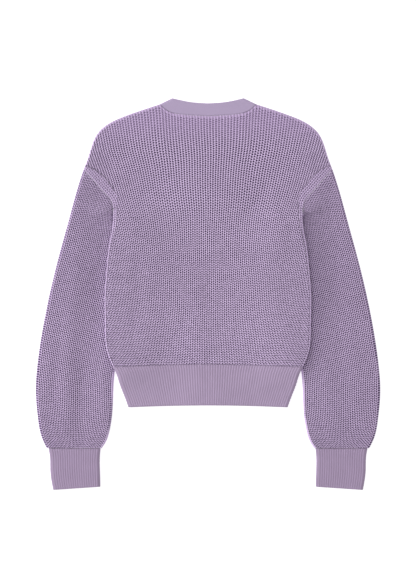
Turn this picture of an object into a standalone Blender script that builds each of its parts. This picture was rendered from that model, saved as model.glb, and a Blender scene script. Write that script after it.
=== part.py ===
"""A knitted cardigan that lies flat, back up, with its sleeves folded down beside it.

Every knitted or sewn piece is one closed solid: a wall between an outer and an inner
sheet of points. Sizes and tables are in millimetres, and the meshes are in metres.

Frame: for someone who looks down at the back, +X is to the right and +Y runs from the
hem to the neck; +Z is up. The origin lies under the middle of the outline, on the
surface the cardigan rests on. Left and right are the wearer's, so left is at -X.
The outline tables give the right half, and the left half is its mirror image.
"""

import math

import bmesh
import bpy
import numpy as np

# ---------------------------------------------------------------- driving dimensions

MM = 0.001

HALF_THICK = 3.75      # from the plane between two layers to their outer faces
KNIT_WALL = 2.8        # half-cardigan knit of the body and the sleeves
RIB_WALL = 2.5         # 1x1 rib of the hem band and the cuffs
BAND_WALL = 2.0        # smooth fine knit of the neckband and the front bands
SEAM_GAP = 0.3
NECK_SEAM_GAP = 0.5    # the neck seam is the most curved one
SLEEVE_SEAM_GAP = 0.5

WALE_RELIEF = 0.7      # how far the knit's wales stand out
RIB_RELIEF = 0.75
FULL_RELIEF_WIDTH = 125.0  # a tube narrower than this has its wales in lower relief
BODY_WALES = 80
SLEEVE_WALES = 30
HEM_RIBS = 66
CUFF_RIBS = 20

SIDE_RISE = 9.0        # the body's sides lie on the tucked sleeve edges
SIDE_RAMP = 28.0       # how far the body takes to come down to the surface
RAMP_CLEAR = 7.0       # and how far before the sleeve's edge it is all up
CENTRE_RISE = 2.8      # the back's soft ridge over the closed front bands
CENTRE_RIDGE = (50.0, 20.0)  # none outside the first half width, all inside the second

BAND_HALF_WIDTH = 14.0
BUTTONHOLE_BAND_RISE = 2.5
BUTTON_BAND_RISE = 4.8
FRONT_RIGHT_RISE = 2.0  # each front panel comes up to its band at the centre
FRONT_LEFT_RISE = 3.8
FRONT_RAMP = (45.0, 15.0)    # flat outside the first half width, all up at the second

BUTTONS = 5
BUTTON_RADIUS = 7.5
BUTTON_THICKNESS = 2.2
BUTTON_EDGE = 0.6
BUTTON_SIDES = 16
TOP_BUTTON_HEIGHT = 150.0
LOWEST_BUTTON_HEIGHT = -186.0

# Where the layers change level, as heights up the garment
SIDE_RISE_ENDS = (178.0, 140.0)      # none above the first, all below the second
SIDE_RISE_FADES = (-185.0, -142.0)   # none below the first, all above the second
SLEEVE_DROPS = (143.0, 157.0)        # the sleeve is down below the first
SLEEVE_CORNER = (225.0, 185.0)       # half widths: the sleeve is down outside the first
FRONT_RISE_FADES = (258.0, 198.0)
CENTRE_RISE_FADES = (290.0, 215.0)

# ---------------------------------------------------------------- outline tables

# Body's side edge, then the hem band's, from the underarm down: (half width, height)
BODY_SIDE = (
    (175.0, 157.0),
    (174.8, 141.0),
    (176.3, 123.0),
    (182.4, 90.5),
    (187.6, 42.4),
    (190.9, -2.0),
    (190.2, -57.5),
    (186.9, -103.8),
    (182.2, -118.6),
    (175.5, -134.3),
)
HEM_SIDE = (
    (175.5, -134.3),
    (169.6, -145.0),
    (162.8, -166.7),
    (154.5, -189.0),
    (147.1, -209.2),
)

# Armhole seam from the underarm to the shoulder edge: (half width, height)
ARMHOLE = (
    (175.0, 157.0),
    (178.4, 171.0),
    (193.5, 189.5),
    (207.5, 205.5),
    (230.0, 230.0),
)

# Shoulder edge from the armhole seam to the neck: (half width, height)
SHOULDER = (
    (230.0, 230.0),
    (222.5, 250.0),
    (213.5, 278.0),
    (205.0, 295.5),
    (192.5, 308.5),
    (150.0, 330.0),
    (89.7, 350.4),
)

# Neck seam from the shoulder to the middle of the back: (half width, height)
NECK_SEAM = ((89.7, 350.4), (76.5, 338.6), (48.0, 331.2), (0.0, 328.2))

# Free edge of the neckband, from its fold to the middle of the back
NECK_EDGE = ((66.6, 361.7), (34.0, 354.6), (0.0, 351.9))

# Front neckline seam and the band's free edge, from the shoulder to the centre front
FRONT_NECK_SEAM = ((89.7, 350.4), (81.0, 310.0), (55.0, 240.0), (14.3, 165.3))
FRONT_NECK_EDGE = ((66.6, 361.7), (58.0, 312.0), (31.5, 243.0), (-12.0, 165.3))

# Sleeve's edges, from the armhole to the cuff: (distance from the centre, height)
SLEEVE_OUTER = (
    (230.0, 230.0),
    (238.7, 203.3),
    (255.3, 144.1),
    (279.4, 55.3),
    (299.7, -33.5),
    (314.2, -122.3),
    (318.2, -181.0),
    (314.5, -228.0),
    (307.5, -264.0),
    (298.0, -284.5),
)
SLEEVE_INNER = (
    (175.5, 157.0),
    (175.4, 150.0),
    (175.1, 143.0),
    (169.0, 127.0),
    (158.5, 103.0),
    (149.0, 70.0),
    (146.0, 20.0),
    (151.0, -40.0),
    (160.0, -90.0),
    (171.8, -140.0),
    (175.8, -203.7),
    (182.5, -255.5),
    (188.5, -273.0),
    (196.2, -284.5),
)
CUFF_OUTER = ((294.6, -285.3), (292.2, -300.0), (291.4, -326.0), (286.2, -361.7))
CUFF_INNER = ((198.4, -285.3), (199.8, -300.0), (199.5, -330.0), (198.9, -355.8))

HEM_SEAM = ((-175.5, -134.3), (-90.0, -131.0), (0.0, -129.7), (90.0, -131.0), (175.5, -134.3))
HEM_EDGE = ((-147.1, -209.2), (-75.0, -206.6), (0.0, -205.5), (75.0, -206.6), (147.1, -209.2))

# Soft creases of the upper layer: middle, half length, half width, turn from +X, height
CREASES = (
    # x, y, length, width, turn, height
    (10.0, 62.0, 125.0, 13.0, 2.0, -0.6),
    (-60.0, 150.0, 60.0, 24.0, 20.0, 0.9),
    (128.0, 118.0, 50.0, 20.0, 80.0, 1.1),
    (95.0, 175.0, 46.0, 12.0, 55.0, -0.6),
    (-20.0, -70.0, 90.0, 26.0, 88.0, 0.7),
    (-252.0, 40.0, 120.0, 13.0, 100.0, -0.7),
    (-250.0, -180.0, 90.0, 14.0, 93.0, -0.7),
    (-288.0, -150.0, 100.0, 17.0, 98.0, 1.4),
    (-208.0, -190.0, 80.0, 15.0, 92.0, 1.3),
    (-222.0, 60.0, 70.0, 12.0, 100.0, 1.2),
    (262.0, 60.0, 110.0, 14.0, 75.0, 1.4),
    (228.0, 10.0, 110.0, 15.0, 82.0, -0.7),
    (262.0, -190.0, 90.0, 22.0, 86.0, 1.5),
)

# ---------------------------------------------------------------- steps of the grids

FOLD_STEPS = (0.0, 0.5, 1.9, 3.75)            # insets that round a folded edge
SIDE_STEPS = (12.0, 22.0, 32.0, 42.0, 50.0, 58.0, 66.0, 74.0, 84.0)
HEM_SIDE_STEPS = 6                            # how many of those the hem band uses
HEM_MIDDLE_COLUMNS = 14
TUBE_MIDDLE_COLUMNS = 9
FRONT_CENTRE_STEPS = (0.0, 8.0, 16.0, 28.0)   # insets from a front's centre edge
FRONT_MIDDLE_COLUMNS = 3
FRONT_FULL_WIDTH = 150.0                      # a narrower row has narrower steps
NECK_SHARES = (0.5, 0.39, 0.362, 0.333, 0.3, 0.25, 0.18, 0.11, 0.04)  # of half the width
BODY_HEIGHTS = (-134.3, -116.0, -60.0, 10.0, 70.0, 112.0, 141.0, 157.0)
ARMHOLE_STEPS = (0.0, 0.2, 0.6, 1.0)          # shares of its length
YOKE_ROWS = ARMHOLE_STEPS[1:-1]
YOKE_FOLD_STEPS = (3.75, 1.2, 0.0)
SLEEVE_ROWS = (0.0, 0.016, 0.0315, 0.075, 0.15, 0.27, 0.42, 0.57, 0.71, 0.83, 0.92, 1.0)
SEAM_BEND = 0.12                              # share of a sleeve the armhole bends
HEM_ROWS = (0.005, 0.25, 0.6, 1.0)            # its first row is a seam's gap down
CUFF_ROWS = (0.0, 0.4, 1.0)
LEG_SHARES = (0.0, 0.01, 0.025, 0.05, 0.15, 0.3, 0.45, 0.6, 0.75, 0.9, 1.0)
NAPE_SHARES = (0.0, 0.015, 0.035, 0.07, 0.12, 0.17, 0.25, 0.4, 0.6, 0.8, 1.0)
BAND_ROWS = 9
BAND_WIDTH_STEPS = (0.5, 0.9, 1.0)            # shares of a band's width after its seam
BAND_EDGE_SOFTNESS = 0.5                      # how far a band's free edge is rounded

LINE_STEP = 0.7                               # spacing of points on a smooth line
ON_LINE = 0.02                                # a point this near a fold lies on it
NEAR_LINE = 0.5                               # so does one this near, but just outside
POINTS_AT_ONCE = 400                          # keeps the distance tables small
SHARP_ANGLE = 25.0                            # degrees; the ribs' crests stay crisp


# ---------------------------------------------------------------- lines


def smooth(rows):
    """Points along a natural cubic spline through the rows, over their chord length."""
    knots = np.array(rows, float)
    steps = np.linalg.norm(np.diff(knots, axis=0), axis=1)
    chord = np.concatenate([[0.0], np.cumsum(steps)])
    count = len(knots)
    system = np.eye(count)
    right = np.zeros((count, 2))
    for i in range(1, count - 1):
        system[i, i - 1 : i + 2] = steps[i - 1], 2 * (steps[i - 1] + steps[i]), steps[i]
        rise_after = (knots[i + 1] - knots[i]) / steps[i]
        rise_before = (knots[i] - knots[i - 1]) / steps[i - 1]
        right[i] = 6 * (rise_after - rise_before)
    bend = np.linalg.solve(system, right)
    place = np.linspace(0.0, chord[-1], max(2, round(chord[-1] / LINE_STEP)))
    i = np.clip(np.searchsorted(chord, place, side="right") - 1, 0, count - 2)
    step = steps[i][:, None]
    ahead = (chord[i + 1] - place)[:, None]
    behind = (place - chord[i])[:, None]
    curved = (bend[i] * ahead**3 + bend[i + 1] * behind**3) / (6 * step)
    straight = (knots[i] / step - bend[i] * step / 6) * ahead
    straight += (knots[i + 1] / step - bend[i + 1] * step / 6) * behind
    return curved + straight


def along(line, share):
    """The points at shares of a line's length."""
    steps = np.linalg.norm(np.diff(line, axis=0), axis=1)
    length = np.concatenate([[0.0], np.cumsum(steps)])
    place = np.asarray(share, float) * length[-1]
    return np.stack([np.interp(place, length, line[:, k]) for k in (0, 1)], axis=-1)


def across(line, share):
    """The points at shares of the way from a line's first x to its last x."""
    x = line[0, 0] + np.asarray(share, float) * (line[-1, 0] - line[0, 0])
    ordered = line[np.argsort(line[:, 0])]
    return np.stack([x, np.interp(x, ordered[:, 0], ordered[:, 1])], axis=-1)


def length_of(line):
    """A line's length."""
    return float(np.linalg.norm(np.diff(line, axis=0), axis=1).sum())


def mirrored(line):
    """The line on the garment's left, run the other way."""
    return line[::-1] * (-1.0, 1.0)


def rise(value, none, full):
    """0 up to `none`, 1 from `full` on, and a smooth S between them."""
    share = np.clip((value - none) / (full - none), 0.0, 1.0)
    return share * share * (3 - 2 * share)


SIDE_LINE = smooth(BODY_SIDE)
HEM_LINE = smooth(HEM_SIDE)
SHOULDER_LINE = smooth(SHOULDER)
SLEEVE_OUTER_LINE = smooth(SLEEVE_OUTER)
SLEEVE_INNER_LINE = smooth(SLEEVE_INNER)
ARMHOLE_LINE = along(smooth(ARMHOLE), ARMHOLE_STEPS)
FRONT_NECK_LINE = along(smooth(FRONT_NECK_SEAM)[::-1], ARMHOLE_STEPS)
BACK_NECK_LINE = smooth(NECK_SEAM)

# A fold line is where the upper and the lower layer meet. Each runs clockwise round
# its piece, so that the cloth is on its right.
NECK_FOLD = np.array([NECK_EDGE[0], NECK_SEAM[0]])
TOP_FOLD = np.concatenate([NECK_FOLD, SHOULDER_LINE[::-1], SLEEVE_OUTER_LINE[1:]])
SIDE_FOLD = np.concatenate([SIDE_LINE, HEM_LINE[1:]])
INNER_FOLD = SLEEVE_INNER_LINE[::-1]


# ---------------------------------------------------------------- levels


def body_middle(plan):
    """Height of the plane between the body's two layers.

    The body lies on the surface, comes up over the tucked sleeve edges at its sides,
    and is down again above the underarm and at the hem.
    """
    x = np.abs(plan[..., 0])
    y = plan[..., 1]
    edge = np.interp(y, INNER_FOLD[:, 1], INNER_FOLD[:, 0])
    over_sleeve = rise(x, edge - RAMP_CLEAR - SIDE_RAMP, edge - RAMP_CLEAR)
    window = rise(y, *SIDE_RISE_ENDS) * rise(y, *SIDE_RISE_FADES)
    return HALF_THICK + SIDE_RISE * over_sleeve * window


def sleeve_middle(plan):
    """Height of the plane between a sleeve's two layers: up only at the underarm."""
    x = np.abs(plan[..., 0])
    y = plan[..., 1]
    corner = rise(y, *SIDE_RISE_ENDS) * rise(y, *SLEEVE_DROPS) * rise(x, *SLEEVE_CORNER)
    return HALF_THICK + SIDE_RISE * corner


def flat_middle(plan):
    """Height of the plane between two layers that lie on the surface."""
    return np.full(plan.shape[:-1], HALF_THICK)


def back_rise(plan):
    """How far the back stands up over the front bands, with its soft creases."""
    x = np.abs(plan[..., 0])
    y = plan[..., 1]
    ridge = CENTRE_RISE * rise(x, *CENTRE_RIDGE) * rise(y, *CENTRE_RISE_FADES)
    return ridge + crease_height(plan)


def front_rise(plan, height):
    """How far a front panel or a leg of the neckband comes up towards its band."""
    x = np.abs(plan[..., 0])
    y = plan[..., 1]
    return height * rise(x, *FRONT_RAMP) * rise(y, *FRONT_RISE_FADES)


def crease_height(plan):
    """Sum of the creases, each a bell across its width and along its length."""
    total = np.zeros(plan.shape[:-1])
    for x, y, length, width, turn, height in CREASES:
        angle = math.radians(turn)
        offset = plan - (x, y)
        ahead = offset[..., 0] * math.cos(angle) + offset[..., 1] * math.sin(angle)
        aside = offset[..., 1] * math.cos(angle) - offset[..., 0] * math.sin(angle)
        total += height * np.exp(-((ahead / length) ** 2) - (aside / width) ** 2)
    return total


# ---------------------------------------------------------------- cloth


def nearest_fold(plan, folds):
    """Each point's distance from the nearest fold line, and the way into the cloth."""
    sign = np.where(plan[..., 0] < 0, -1.0, 1.0).reshape(-1)
    points = plan.reshape(-1, 2) * np.stack([sign, np.ones_like(sign)], axis=-1)
    distance = np.full(len(points), np.inf)
    inward = np.zeros_like(points)
    for fold in folds:
        start = fold[:-1]
        step = np.diff(fold, axis=0)
        size = (step**2).sum(axis=1)
        for chunk in np.array_split(np.arange(len(points)), max(1, len(points) // POINTS_AT_ONCE)):
            offset = points[chunk, None] - start
            share = np.clip((offset * step).sum(axis=2) / size, 0.0, 1.0)
            gap = offset - share[..., None] * step
            size_of_gap = np.linalg.norm(gap, axis=2)
            best = size_of_gap.argmin(axis=1)
            rows = np.arange(len(chunk))
            found = size_of_gap[rows, best]
            right_hand = step[best][:, ::-1] * (1.0, -1.0)
            right_hand /= np.linalg.norm(right_hand, axis=1)[:, None]
            away = gap[rows, best] / np.maximum(found, 1e-9)[:, None]
            on_line = (found < ON_LINE) | ((found < NEAR_LINE) & ((away * right_hand).sum(axis=1) < 0))
            way = np.where(on_line[:, None], right_hand, away)
            found = np.where(on_line, 0.0, found)
            closer = found < distance[chunk]
            distance[chunk[closer]] = found[closer]
            inward[chunk[closer]] = way[closer]
    inward[:, 0] *= sign
    return distance.reshape(plan.shape[:-1]), inward.reshape(plan.shape)


def layer(plan, folds, wall, middle, side, extra=0.0, relief=0.0, least=SEAM_GAP / 2):
    """Outer and inner points of one layer over its plan points.

    Away from a fold the wall is flat: its outer face lies HALF_THICK above (side 1) or
    below (side -1) the middle plane. Within HALF_THICK of a fold it turns round a
    quarter circle: cosine = 1 - distance / HALF_THICK, the outer height is
    HALF_THICK * sine, and the inner point lies a wall nearer the circle's centre.
    """
    distance, inward = nearest_fold(plan, folds)
    cosine = np.clip(1 - distance / HALF_THICK, 0.0, 1.0)
    sine = np.sqrt(1 - cosine**2)
    level = middle(plan) + extra * sine
    outer_height = level + side * np.maximum((HALF_THICK + relief) * sine, least)
    inner_height = level + side * np.maximum((HALF_THICK - wall) * sine, least)
    outer = np.concatenate([plan, outer_height[..., None]], axis=-1)
    inner_plan = plan + wall * cosine[..., None] * inward
    inner = np.concatenate([inner_plan, inner_height[..., None]], axis=-1)
    return outer, inner


def rib_relief(columns, first, last, height):
    """Every second column between two columns raised, as the crests of the ribs."""
    relief = np.zeros(columns)
    relief[first + 1 : last : 2] = height
    return relief


def edge_columns(widths, first_steps, last_steps, between):
    """Shares across each row: given insets from both edges, even steps between."""
    widths = np.asarray(widths, float)[:, None]
    first = np.asarray(first_steps, float)[None, :] / widths
    last = 1 - np.asarray(last_steps, float)[None, :] / widths
    even = np.linspace(0, 1, between + 1)[None, 1:-1]
    middle = first[:, -1:] + even * (last[:, :1] - first[:, -1:])
    return np.concatenate([first, middle, last], axis=1)


# ---------------------------------------------------------------- meshes


def srgb(red, green, blue):
    """Linear colour of an 8-bit one."""
    return tuple(((c / 255 + 0.055) / 1.055) ** 2.4 for c in (red, green, blue)) + (1.0,)


def material(name, colour, roughness):
    """A Principled material of one colour."""
    made = bpy.data.materials.new(name)
    made.use_nodes = True
    shader = made.node_tree.nodes["Principled BSDF"]
    shader.inputs["Base Color"].default_value = colour
    shader.inputs["Roughness"].default_value = roughness
    shader.inputs["Metallic"].default_value = 0.0
    made.diffuse_color = colour
    return made


def add_solid(name, points, faces, finish):
    """One closed object from points in millimetres, its faces turned outwards."""
    mesh = bpy.data.meshes.new(name)
    mesh.from_pydata([tuple(p) for p in np.asarray(points) * MM], [], faces)
    shape = bmesh.new()
    shape.from_mesh(mesh)
    bmesh.ops.recalc_face_normals(shape, faces=shape.faces)
    shape.to_mesh(mesh)
    shape.free()
    mesh.materials.append(finish)
    mesh.shade_smooth()
    mesh.set_sharp_from_angle(angle=math.radians(SHARP_ANGLE))
    made = bpy.data.objects.new(name, mesh)
    bpy.context.scene.collection.objects.link(made)
    return made


def grid_faces(index, closed):
    """Quads between the rows and columns of an index grid."""
    if closed:
        index = np.concatenate([index, index[:, :1]], axis=1)
    low, high = index[:-1], index[1:]
    quads = np.stack([low[:, :-1], low[:, 1:], high[:, 1:], high[:, :-1]], axis=-1)
    return quads.reshape(-1, 4).tolist()


def sheet_faces(index, points, closed):
    """Quads of a sheet, each begun at its lower corner on the centre's side.

    Layers that lie on each other then bend along like diagonals, left and right.
    """
    x = np.abs(points[:, 0])
    faces = grid_faces(index, closed)
    return [f if x[f[0]] <= x[f[1]] else f[1:] + f[:1] for f in faces]


def rim_faces(first, first_share, second, second_share):
    """Triangles that zip two rows of unequal counts, by their shares along the rim."""
    faces = []
    i = j = 0
    while i < len(first) - 1 or j < len(second) - 1:
        more = i < len(first) - 1
        step_first = more and (
            j == len(second) - 1 or first_share[i + 1] <= second_share[j + 1] + 1e-9
        )
        if step_first:
            faces.append([first[i], first[i + 1], second[j]])
            i += 1
        else:
            faces.append([first[i], second[j + 1], second[j]])
            j += 1
    return faces


def wall_solid(name, outer, inner, outer_share, inner_share, finish, closed=False):
    """The solid between two sheets that have as many rows, and may differ in columns."""
    rows, outer_columns = outer.shape[:2]
    inner_columns = inner.shape[1]
    outside = np.arange(rows * outer_columns).reshape(rows, outer_columns)
    inside = np.arange(rows * inner_columns).reshape(rows, inner_columns) + outside.size
    points = np.concatenate([outer.reshape(-1, 3), inner.reshape(-1, 3)])
    faces = sheet_faces(outside, points, closed) + sheet_faces(inside, points, closed)
    for row in (0, -1):
        first, second = list(outside[row]), list(inside[row])
        first_share, second_share = list(outer_share[row]), list(inner_share[row])
        if closed:
            first, second = first + first[:1], second + second[:1]
            first_share, second_share = first_share + [1.0], second_share + [1.0]
        faces += rim_faces(first, first_share, second, second_share)
    if not closed:
        for column in (0, -1):
            faces += grid_faces(
                np.stack([outside[:, column], inside[:, column]], axis=1), False
            )
    return add_solid(name, points, faces, finish)


# ---------------------------------------------------------------- body panels


def body_rows(left_low, right_low, left_high, right_high, bottom, top, columns):
    """Plan points of a body panel.

    Below the underarm the rows run straight between the side edges, bent near the hem
    as the hem seam is. Above it they go by shares of the armhole, and bend more and
    more as the top edge does; the last ones keep set insets from that edge.
    """
    heights = np.array(BODY_HEIGHTS)
    left = side_points(left_low, heights)
    right = side_points(right_low, heights)
    share = columns(right[:, 0] - left[:, 0])
    low = left[:, None] + share[..., None] * (right - left)[:, None]
    fade = ((heights[-1] - heights) / (heights[-1] - heights[0]))[:, None]
    low[..., 1] += fade * (across(bottom, share)[..., 1] - heights[0])

    def yoke(up, share):
        first = along(left_high, up)
        last = along(right_high, up)
        flat = first + share[..., None] * (last - first)
        ends = top[0] + share[..., None] * (top[-1] - top[0])
        return flat + up[..., None] * (across(top, share) - ends)

    def columns_at(up):
        width = along(right_high, up)[0] - along(left_high, up)[0]
        return columns(np.array([width]))[0]

    rows = [yoke(np.full(share.shape[1], up), columns_at(up)) for up in YOKE_ROWS]
    shares = [columns_at(up) for up in YOKE_ROWS]
    top_share = columns_at(1.0)
    whole = np.ones(len(top_share))
    column_length = np.linalg.norm(yoke(whole, top_share) - low[-1], axis=-1)
    for inset in YOKE_FOLD_STEPS:
        rows.append(yoke(1 - inset / column_length, top_share))
        shares.append(top_share)
    return np.concatenate([low, rows]), np.concatenate([share, shares])


def side_points(line, heights):
    """Points of an edge at the given heights."""
    ordered = line[np.argsort(line[:, 1])]
    x = np.interp(heights, ordered[:, 1], ordered[:, 0])
    return np.stack([x, heights], axis=-1)


def make_back(finish):
    """Back panel, with its wales raised on the face that looks up."""
    left_low = mirrored(SIDE_LINE)
    left_high = ARMHOLE_LINE * (-1.0, 1.0)
    top = np.concatenate(
        [
            mirrored(SHOULDER_LINE[::-1]),
            mirrored(BACK_NECK_LINE[::-1])[1:],
            BACK_NECK_LINE[::-1][1:],
            SHOULDER_LINE[::-1][1:],
        ]
    )
    bottom = smooth(HEM_SEAM)
    edges = (left_low, SIDE_LINE, left_high, ARMHOLE_LINE, bottom, top)

    def wale_columns(widths):
        return edge_columns(widths, FOLD_STEPS, FOLD_STEPS[::-1], 2 * BODY_WALES)

    def plain_columns(widths):
        steps = np.array(FOLD_STEPS + SIDE_STEPS) / np.asarray(widths)[:, None]
        shares = np.ones((len(steps), 1)) * (1 - np.array(NECK_SHARES)) / 2
        half = np.concatenate([steps, shares], axis=1)
        return np.concatenate([half, 1 - half[:, ::-1]], axis=1)

    folds = (TOP_FOLD, SIDE_FOLD)
    plan, share = body_rows(*edges, wale_columns)
    relief = rib_relief(plan.shape[1], 3, plan.shape[1] - 4, WALE_RELIEF)
    outer, _ = layer(plan, folds, KNIT_WALL, body_middle, 1, back_rise(plan), relief)
    plan, plain_share = body_rows(*edges, plain_columns)
    _, inner = layer(plan, folds, KNIT_WALL, body_middle, 1, back_rise(plan))
    wall_solid("back", outer, inner, share, plain_share, finish)


def make_front(name, side, height, finish):
    """A front panel, plain, with its outside on the surface."""
    centre = BAND_HALF_WIDTH + SEAM_GAP
    centre_line = np.array([(centre, BODY_HEIGHTS[0]), (centre, BODY_HEIGHTS[-1])])
    bottom = smooth(HEM_SEAM)
    half = bottom[bottom[:, 0] >= centre]
    start = [(centre, np.interp(centre, bottom[:, 0], bottom[:, 1]))]
    bottom = np.concatenate([start, half])
    neck = FRONT_NECK_LINE.copy()
    neck[0] = centre, BODY_HEIGHTS[-1]
    edges = (centre_line, SIDE_LINE, neck, ARMHOLE_LINE, bottom, SHOULDER_LINE[::-1])

    def columns(widths):
        return front_columns(widths, FOLD_STEPS + SIDE_STEPS)

    plan, share = body_rows(*edges, columns)
    plan = plan * (side, 1.0)
    extra = front_rise(plan, height)
    folds = (TOP_FOLD, SIDE_FOLD)
    outer, inner = layer(plan, folds, KNIT_WALL, body_middle, -1, extra)
    wall_solid(name, outer, inner, share, share, finish)


def front_columns(widths, side_steps):
    """Shares across a front: fine near the centre and the side, even between them.

    The steps shrink with a narrow row, but for those that round the folded edge.
    """
    widths = np.asarray(widths, float)[:, None]
    shrink = np.minimum(1.0, widths / FRONT_FULL_WIDTH)
    first = np.array(FRONT_CENTRE_STEPS) * shrink / widths
    steps = np.array(side_steps[::-1])
    last = 1 - steps * np.where(steps <= HALF_THICK, 1.0, shrink) / widths
    even = np.linspace(0, 1, FRONT_MIDDLE_COLUMNS + 1)[None, 1:-1]
    middle = first[:, -1:] + even * (last[:, :1] - first[:, -1:])
    return np.concatenate([first, middle, last], axis=1)


# ---------------------------------------------------------------- hem


def hem_rows(start, columns):
    """Plan points of the hem band from the seam down, between `start` and the side."""
    seam = smooth(HEM_SEAM)
    edge = smooth(HEM_EDGE)
    rows, shares = [], []
    for down in HEM_ROWS:
        corner = along(HEM_LINE, down)
        first = -corner[0] if start is None else start
        share = columns(np.array([corner[0] - first]))[0]
        x = first + share * (corner[0] - first)
        seam_y = np.interp(x * seam[-1, 0] / corner[0], seam[:, 0], seam[:, 1])
        edge_y = np.interp(x * edge[-1, 0] / corner[0], edge[:, 0], edge[:, 1])
        y = (1 - down) * seam_y + down * edge_y
        y += corner[1] - ((1 - down) * seam[-1, 1] + down * edge[-1, 1])
        rows.append(np.stack([x, y], axis=-1))
        shares.append(share)
    return np.array(rows), np.array(shares)


def make_hem_back(finish):
    """Hem band of the back, its ribs raised on the face that looks up."""
    folds = (SIDE_FOLD,)

    def rib_columns(widths):
        return edge_columns(widths, FOLD_STEPS, FOLD_STEPS[::-1], 2 * HEM_RIBS)

    def plain_columns(widths):
        steps = FOLD_STEPS + SIDE_STEPS[:HEM_SIDE_STEPS]
        return edge_columns(widths, steps, steps[::-1], HEM_MIDDLE_COLUMNS)

    plan, share = hem_rows(None, rib_columns)
    relief = rib_relief(plan.shape[1], 3, plan.shape[1] - 4, RIB_RELIEF)
    outer, _ = layer(plan, folds, RIB_WALL, body_middle, 1, back_rise(plan), relief)
    plan, plain_share = hem_rows(None, plain_columns)
    _, inner = layer(plan, folds, RIB_WALL, body_middle, 1, back_rise(plan))
    wall_solid("hem_back", outer, inner, share, plain_share, finish)


def make_hem_front(name, side, height, finish):
    """Hem band of one front, plain, with its outside on the surface."""

    def columns(widths):
        return front_columns(widths, FOLD_STEPS + SIDE_STEPS[:HEM_SIDE_STEPS])

    plan, share = hem_rows(BAND_HALF_WIDTH + SEAM_GAP, columns)
    plan = plan * (side, 1.0)
    extra = front_rise(plan, height)
    outer, inner = layer(plan, (SIDE_FOLD,), RIB_WALL, body_middle, -1, extra)
    wall_solid(name, outer, inner, share, share, finish)


# ---------------------------------------------------------------- sleeves and cuffs


def tube_rows(outer_edge, inner_edge, top, columns, rows):
    """Plan points of a flattened tube, from its outer to its inner edge.

    Each row is straight but for the first ones: the first follows the top seam, and
    the bend is gone after SEAM_BEND of the tube's length.
    """
    first = along(outer_edge, rows)
    last = along(inner_edge, rows)
    share = columns(np.linalg.norm(last - first, axis=1))
    straight = first[:, None] + share[..., None] * (last - first)[:, None]
    ends = top[0] + share[..., None] * (top[-1] - top[0])
    fade = np.clip(1 - np.asarray(rows) / SEAM_BEND, 0.0, 1.0)[:, None, None] ** 2
    return straight + fade * (along(top, share) - ends), share


def tube_solid(name, side, shape, folds, wall, middle, ribs, relief_height, is_sleeve, finish):
    """A flattened tube: ribs raised on the upper layer, a plain lower layer.

    A sleeve's upper layer has soft creases, and its wales are lower where it narrows.
    """

    def rib_columns(widths):
        return edge_columns(widths, FOLD_STEPS, FOLD_STEPS[::-1], 2 * ribs)

    def plain_columns(widths):
        return edge_columns(widths, FOLD_STEPS, FOLD_STEPS[::-1], TUBE_MIDDLE_COLUMNS)

    def half(columns, which, relief):
        plan, share = tube_rows(*shape[:3], columns, shape[3])
        plan = plan * (side, 1.0)
        extra = crease_height(plan) if is_sleeve and which > 0 else 0.0
        width = np.linalg.norm(plan[:, -1] - plan[:, 0], axis=-1)
        raised = rib_relief(plan.shape[1], 3, plan.shape[1] - 4, relief)
        if is_sleeve:
            raised = raised * np.minimum(1.0, width / FULL_RELIEF_WIDTH)[:, None]
        made = layer(plan, folds, wall, middle, which, extra, raised, least=0.0)
        return made, share

    (upper_outer, _), upper_share = half(rib_columns, 1, relief_height)
    (lower_outer, lower_inner), lower_share = half(plain_columns, -1, 0.0)
    (_, upper_inner), plain_share = half(plain_columns, 1, 0.0)
    outer = np.concatenate([upper_outer, lower_outer[:, -2:0:-1]], axis=1)
    inner = np.concatenate([upper_inner, lower_inner[:, -2:0:-1]], axis=1)
    below = 1 - lower_share[:, -2:0:-1] / 2
    outer_share = np.concatenate([upper_share / 2, below], axis=1)
    inner_share = np.concatenate([plain_share / 2, below], axis=1)
    wall_solid(name, outer, inner, outer_share, inner_share, finish, closed=True)


def make_sleeve(name, side, finish):
    """A balloon sleeve, from the armhole seam to the cuff seam."""
    start = SLEEVE_SEAM_GAP / length_of(SLEEVE_OUTER_LINE)
    outer_edge = along(SLEEVE_OUTER_LINE, np.linspace(start, 1, len(SLEEVE_OUTER_LINE)))
    shape = (outer_edge, SLEEVE_INNER_LINE, ARMHOLE_LINE[::-1], SLEEVE_ROWS)
    folds = (TOP_FOLD, INNER_FOLD)
    ribs = (SLEEVE_WALES, WALE_RELIEF)
    tube_solid(name, side, shape, folds, KNIT_WALL, sleeve_middle, *ribs, True, finish)


def make_cuff(name, side, finish):
    """A ribbed cuff, from the sleeve's end to the wrist."""
    outer_edge = smooth(CUFF_OUTER)
    inner_edge = smooth(CUFF_INNER)
    shape = (outer_edge, inner_edge, np.array([outer_edge[0], inner_edge[0]]), CUFF_ROWS)
    folds = (outer_edge, inner_edge[::-1])
    ribs = (CUFF_RIBS, RIB_RELIEF)
    tube_solid(name, side, shape, folds, RIB_WALL, flat_middle, *ribs, False, finish)


# ---------------------------------------------------------------- bands and buttons


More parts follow.
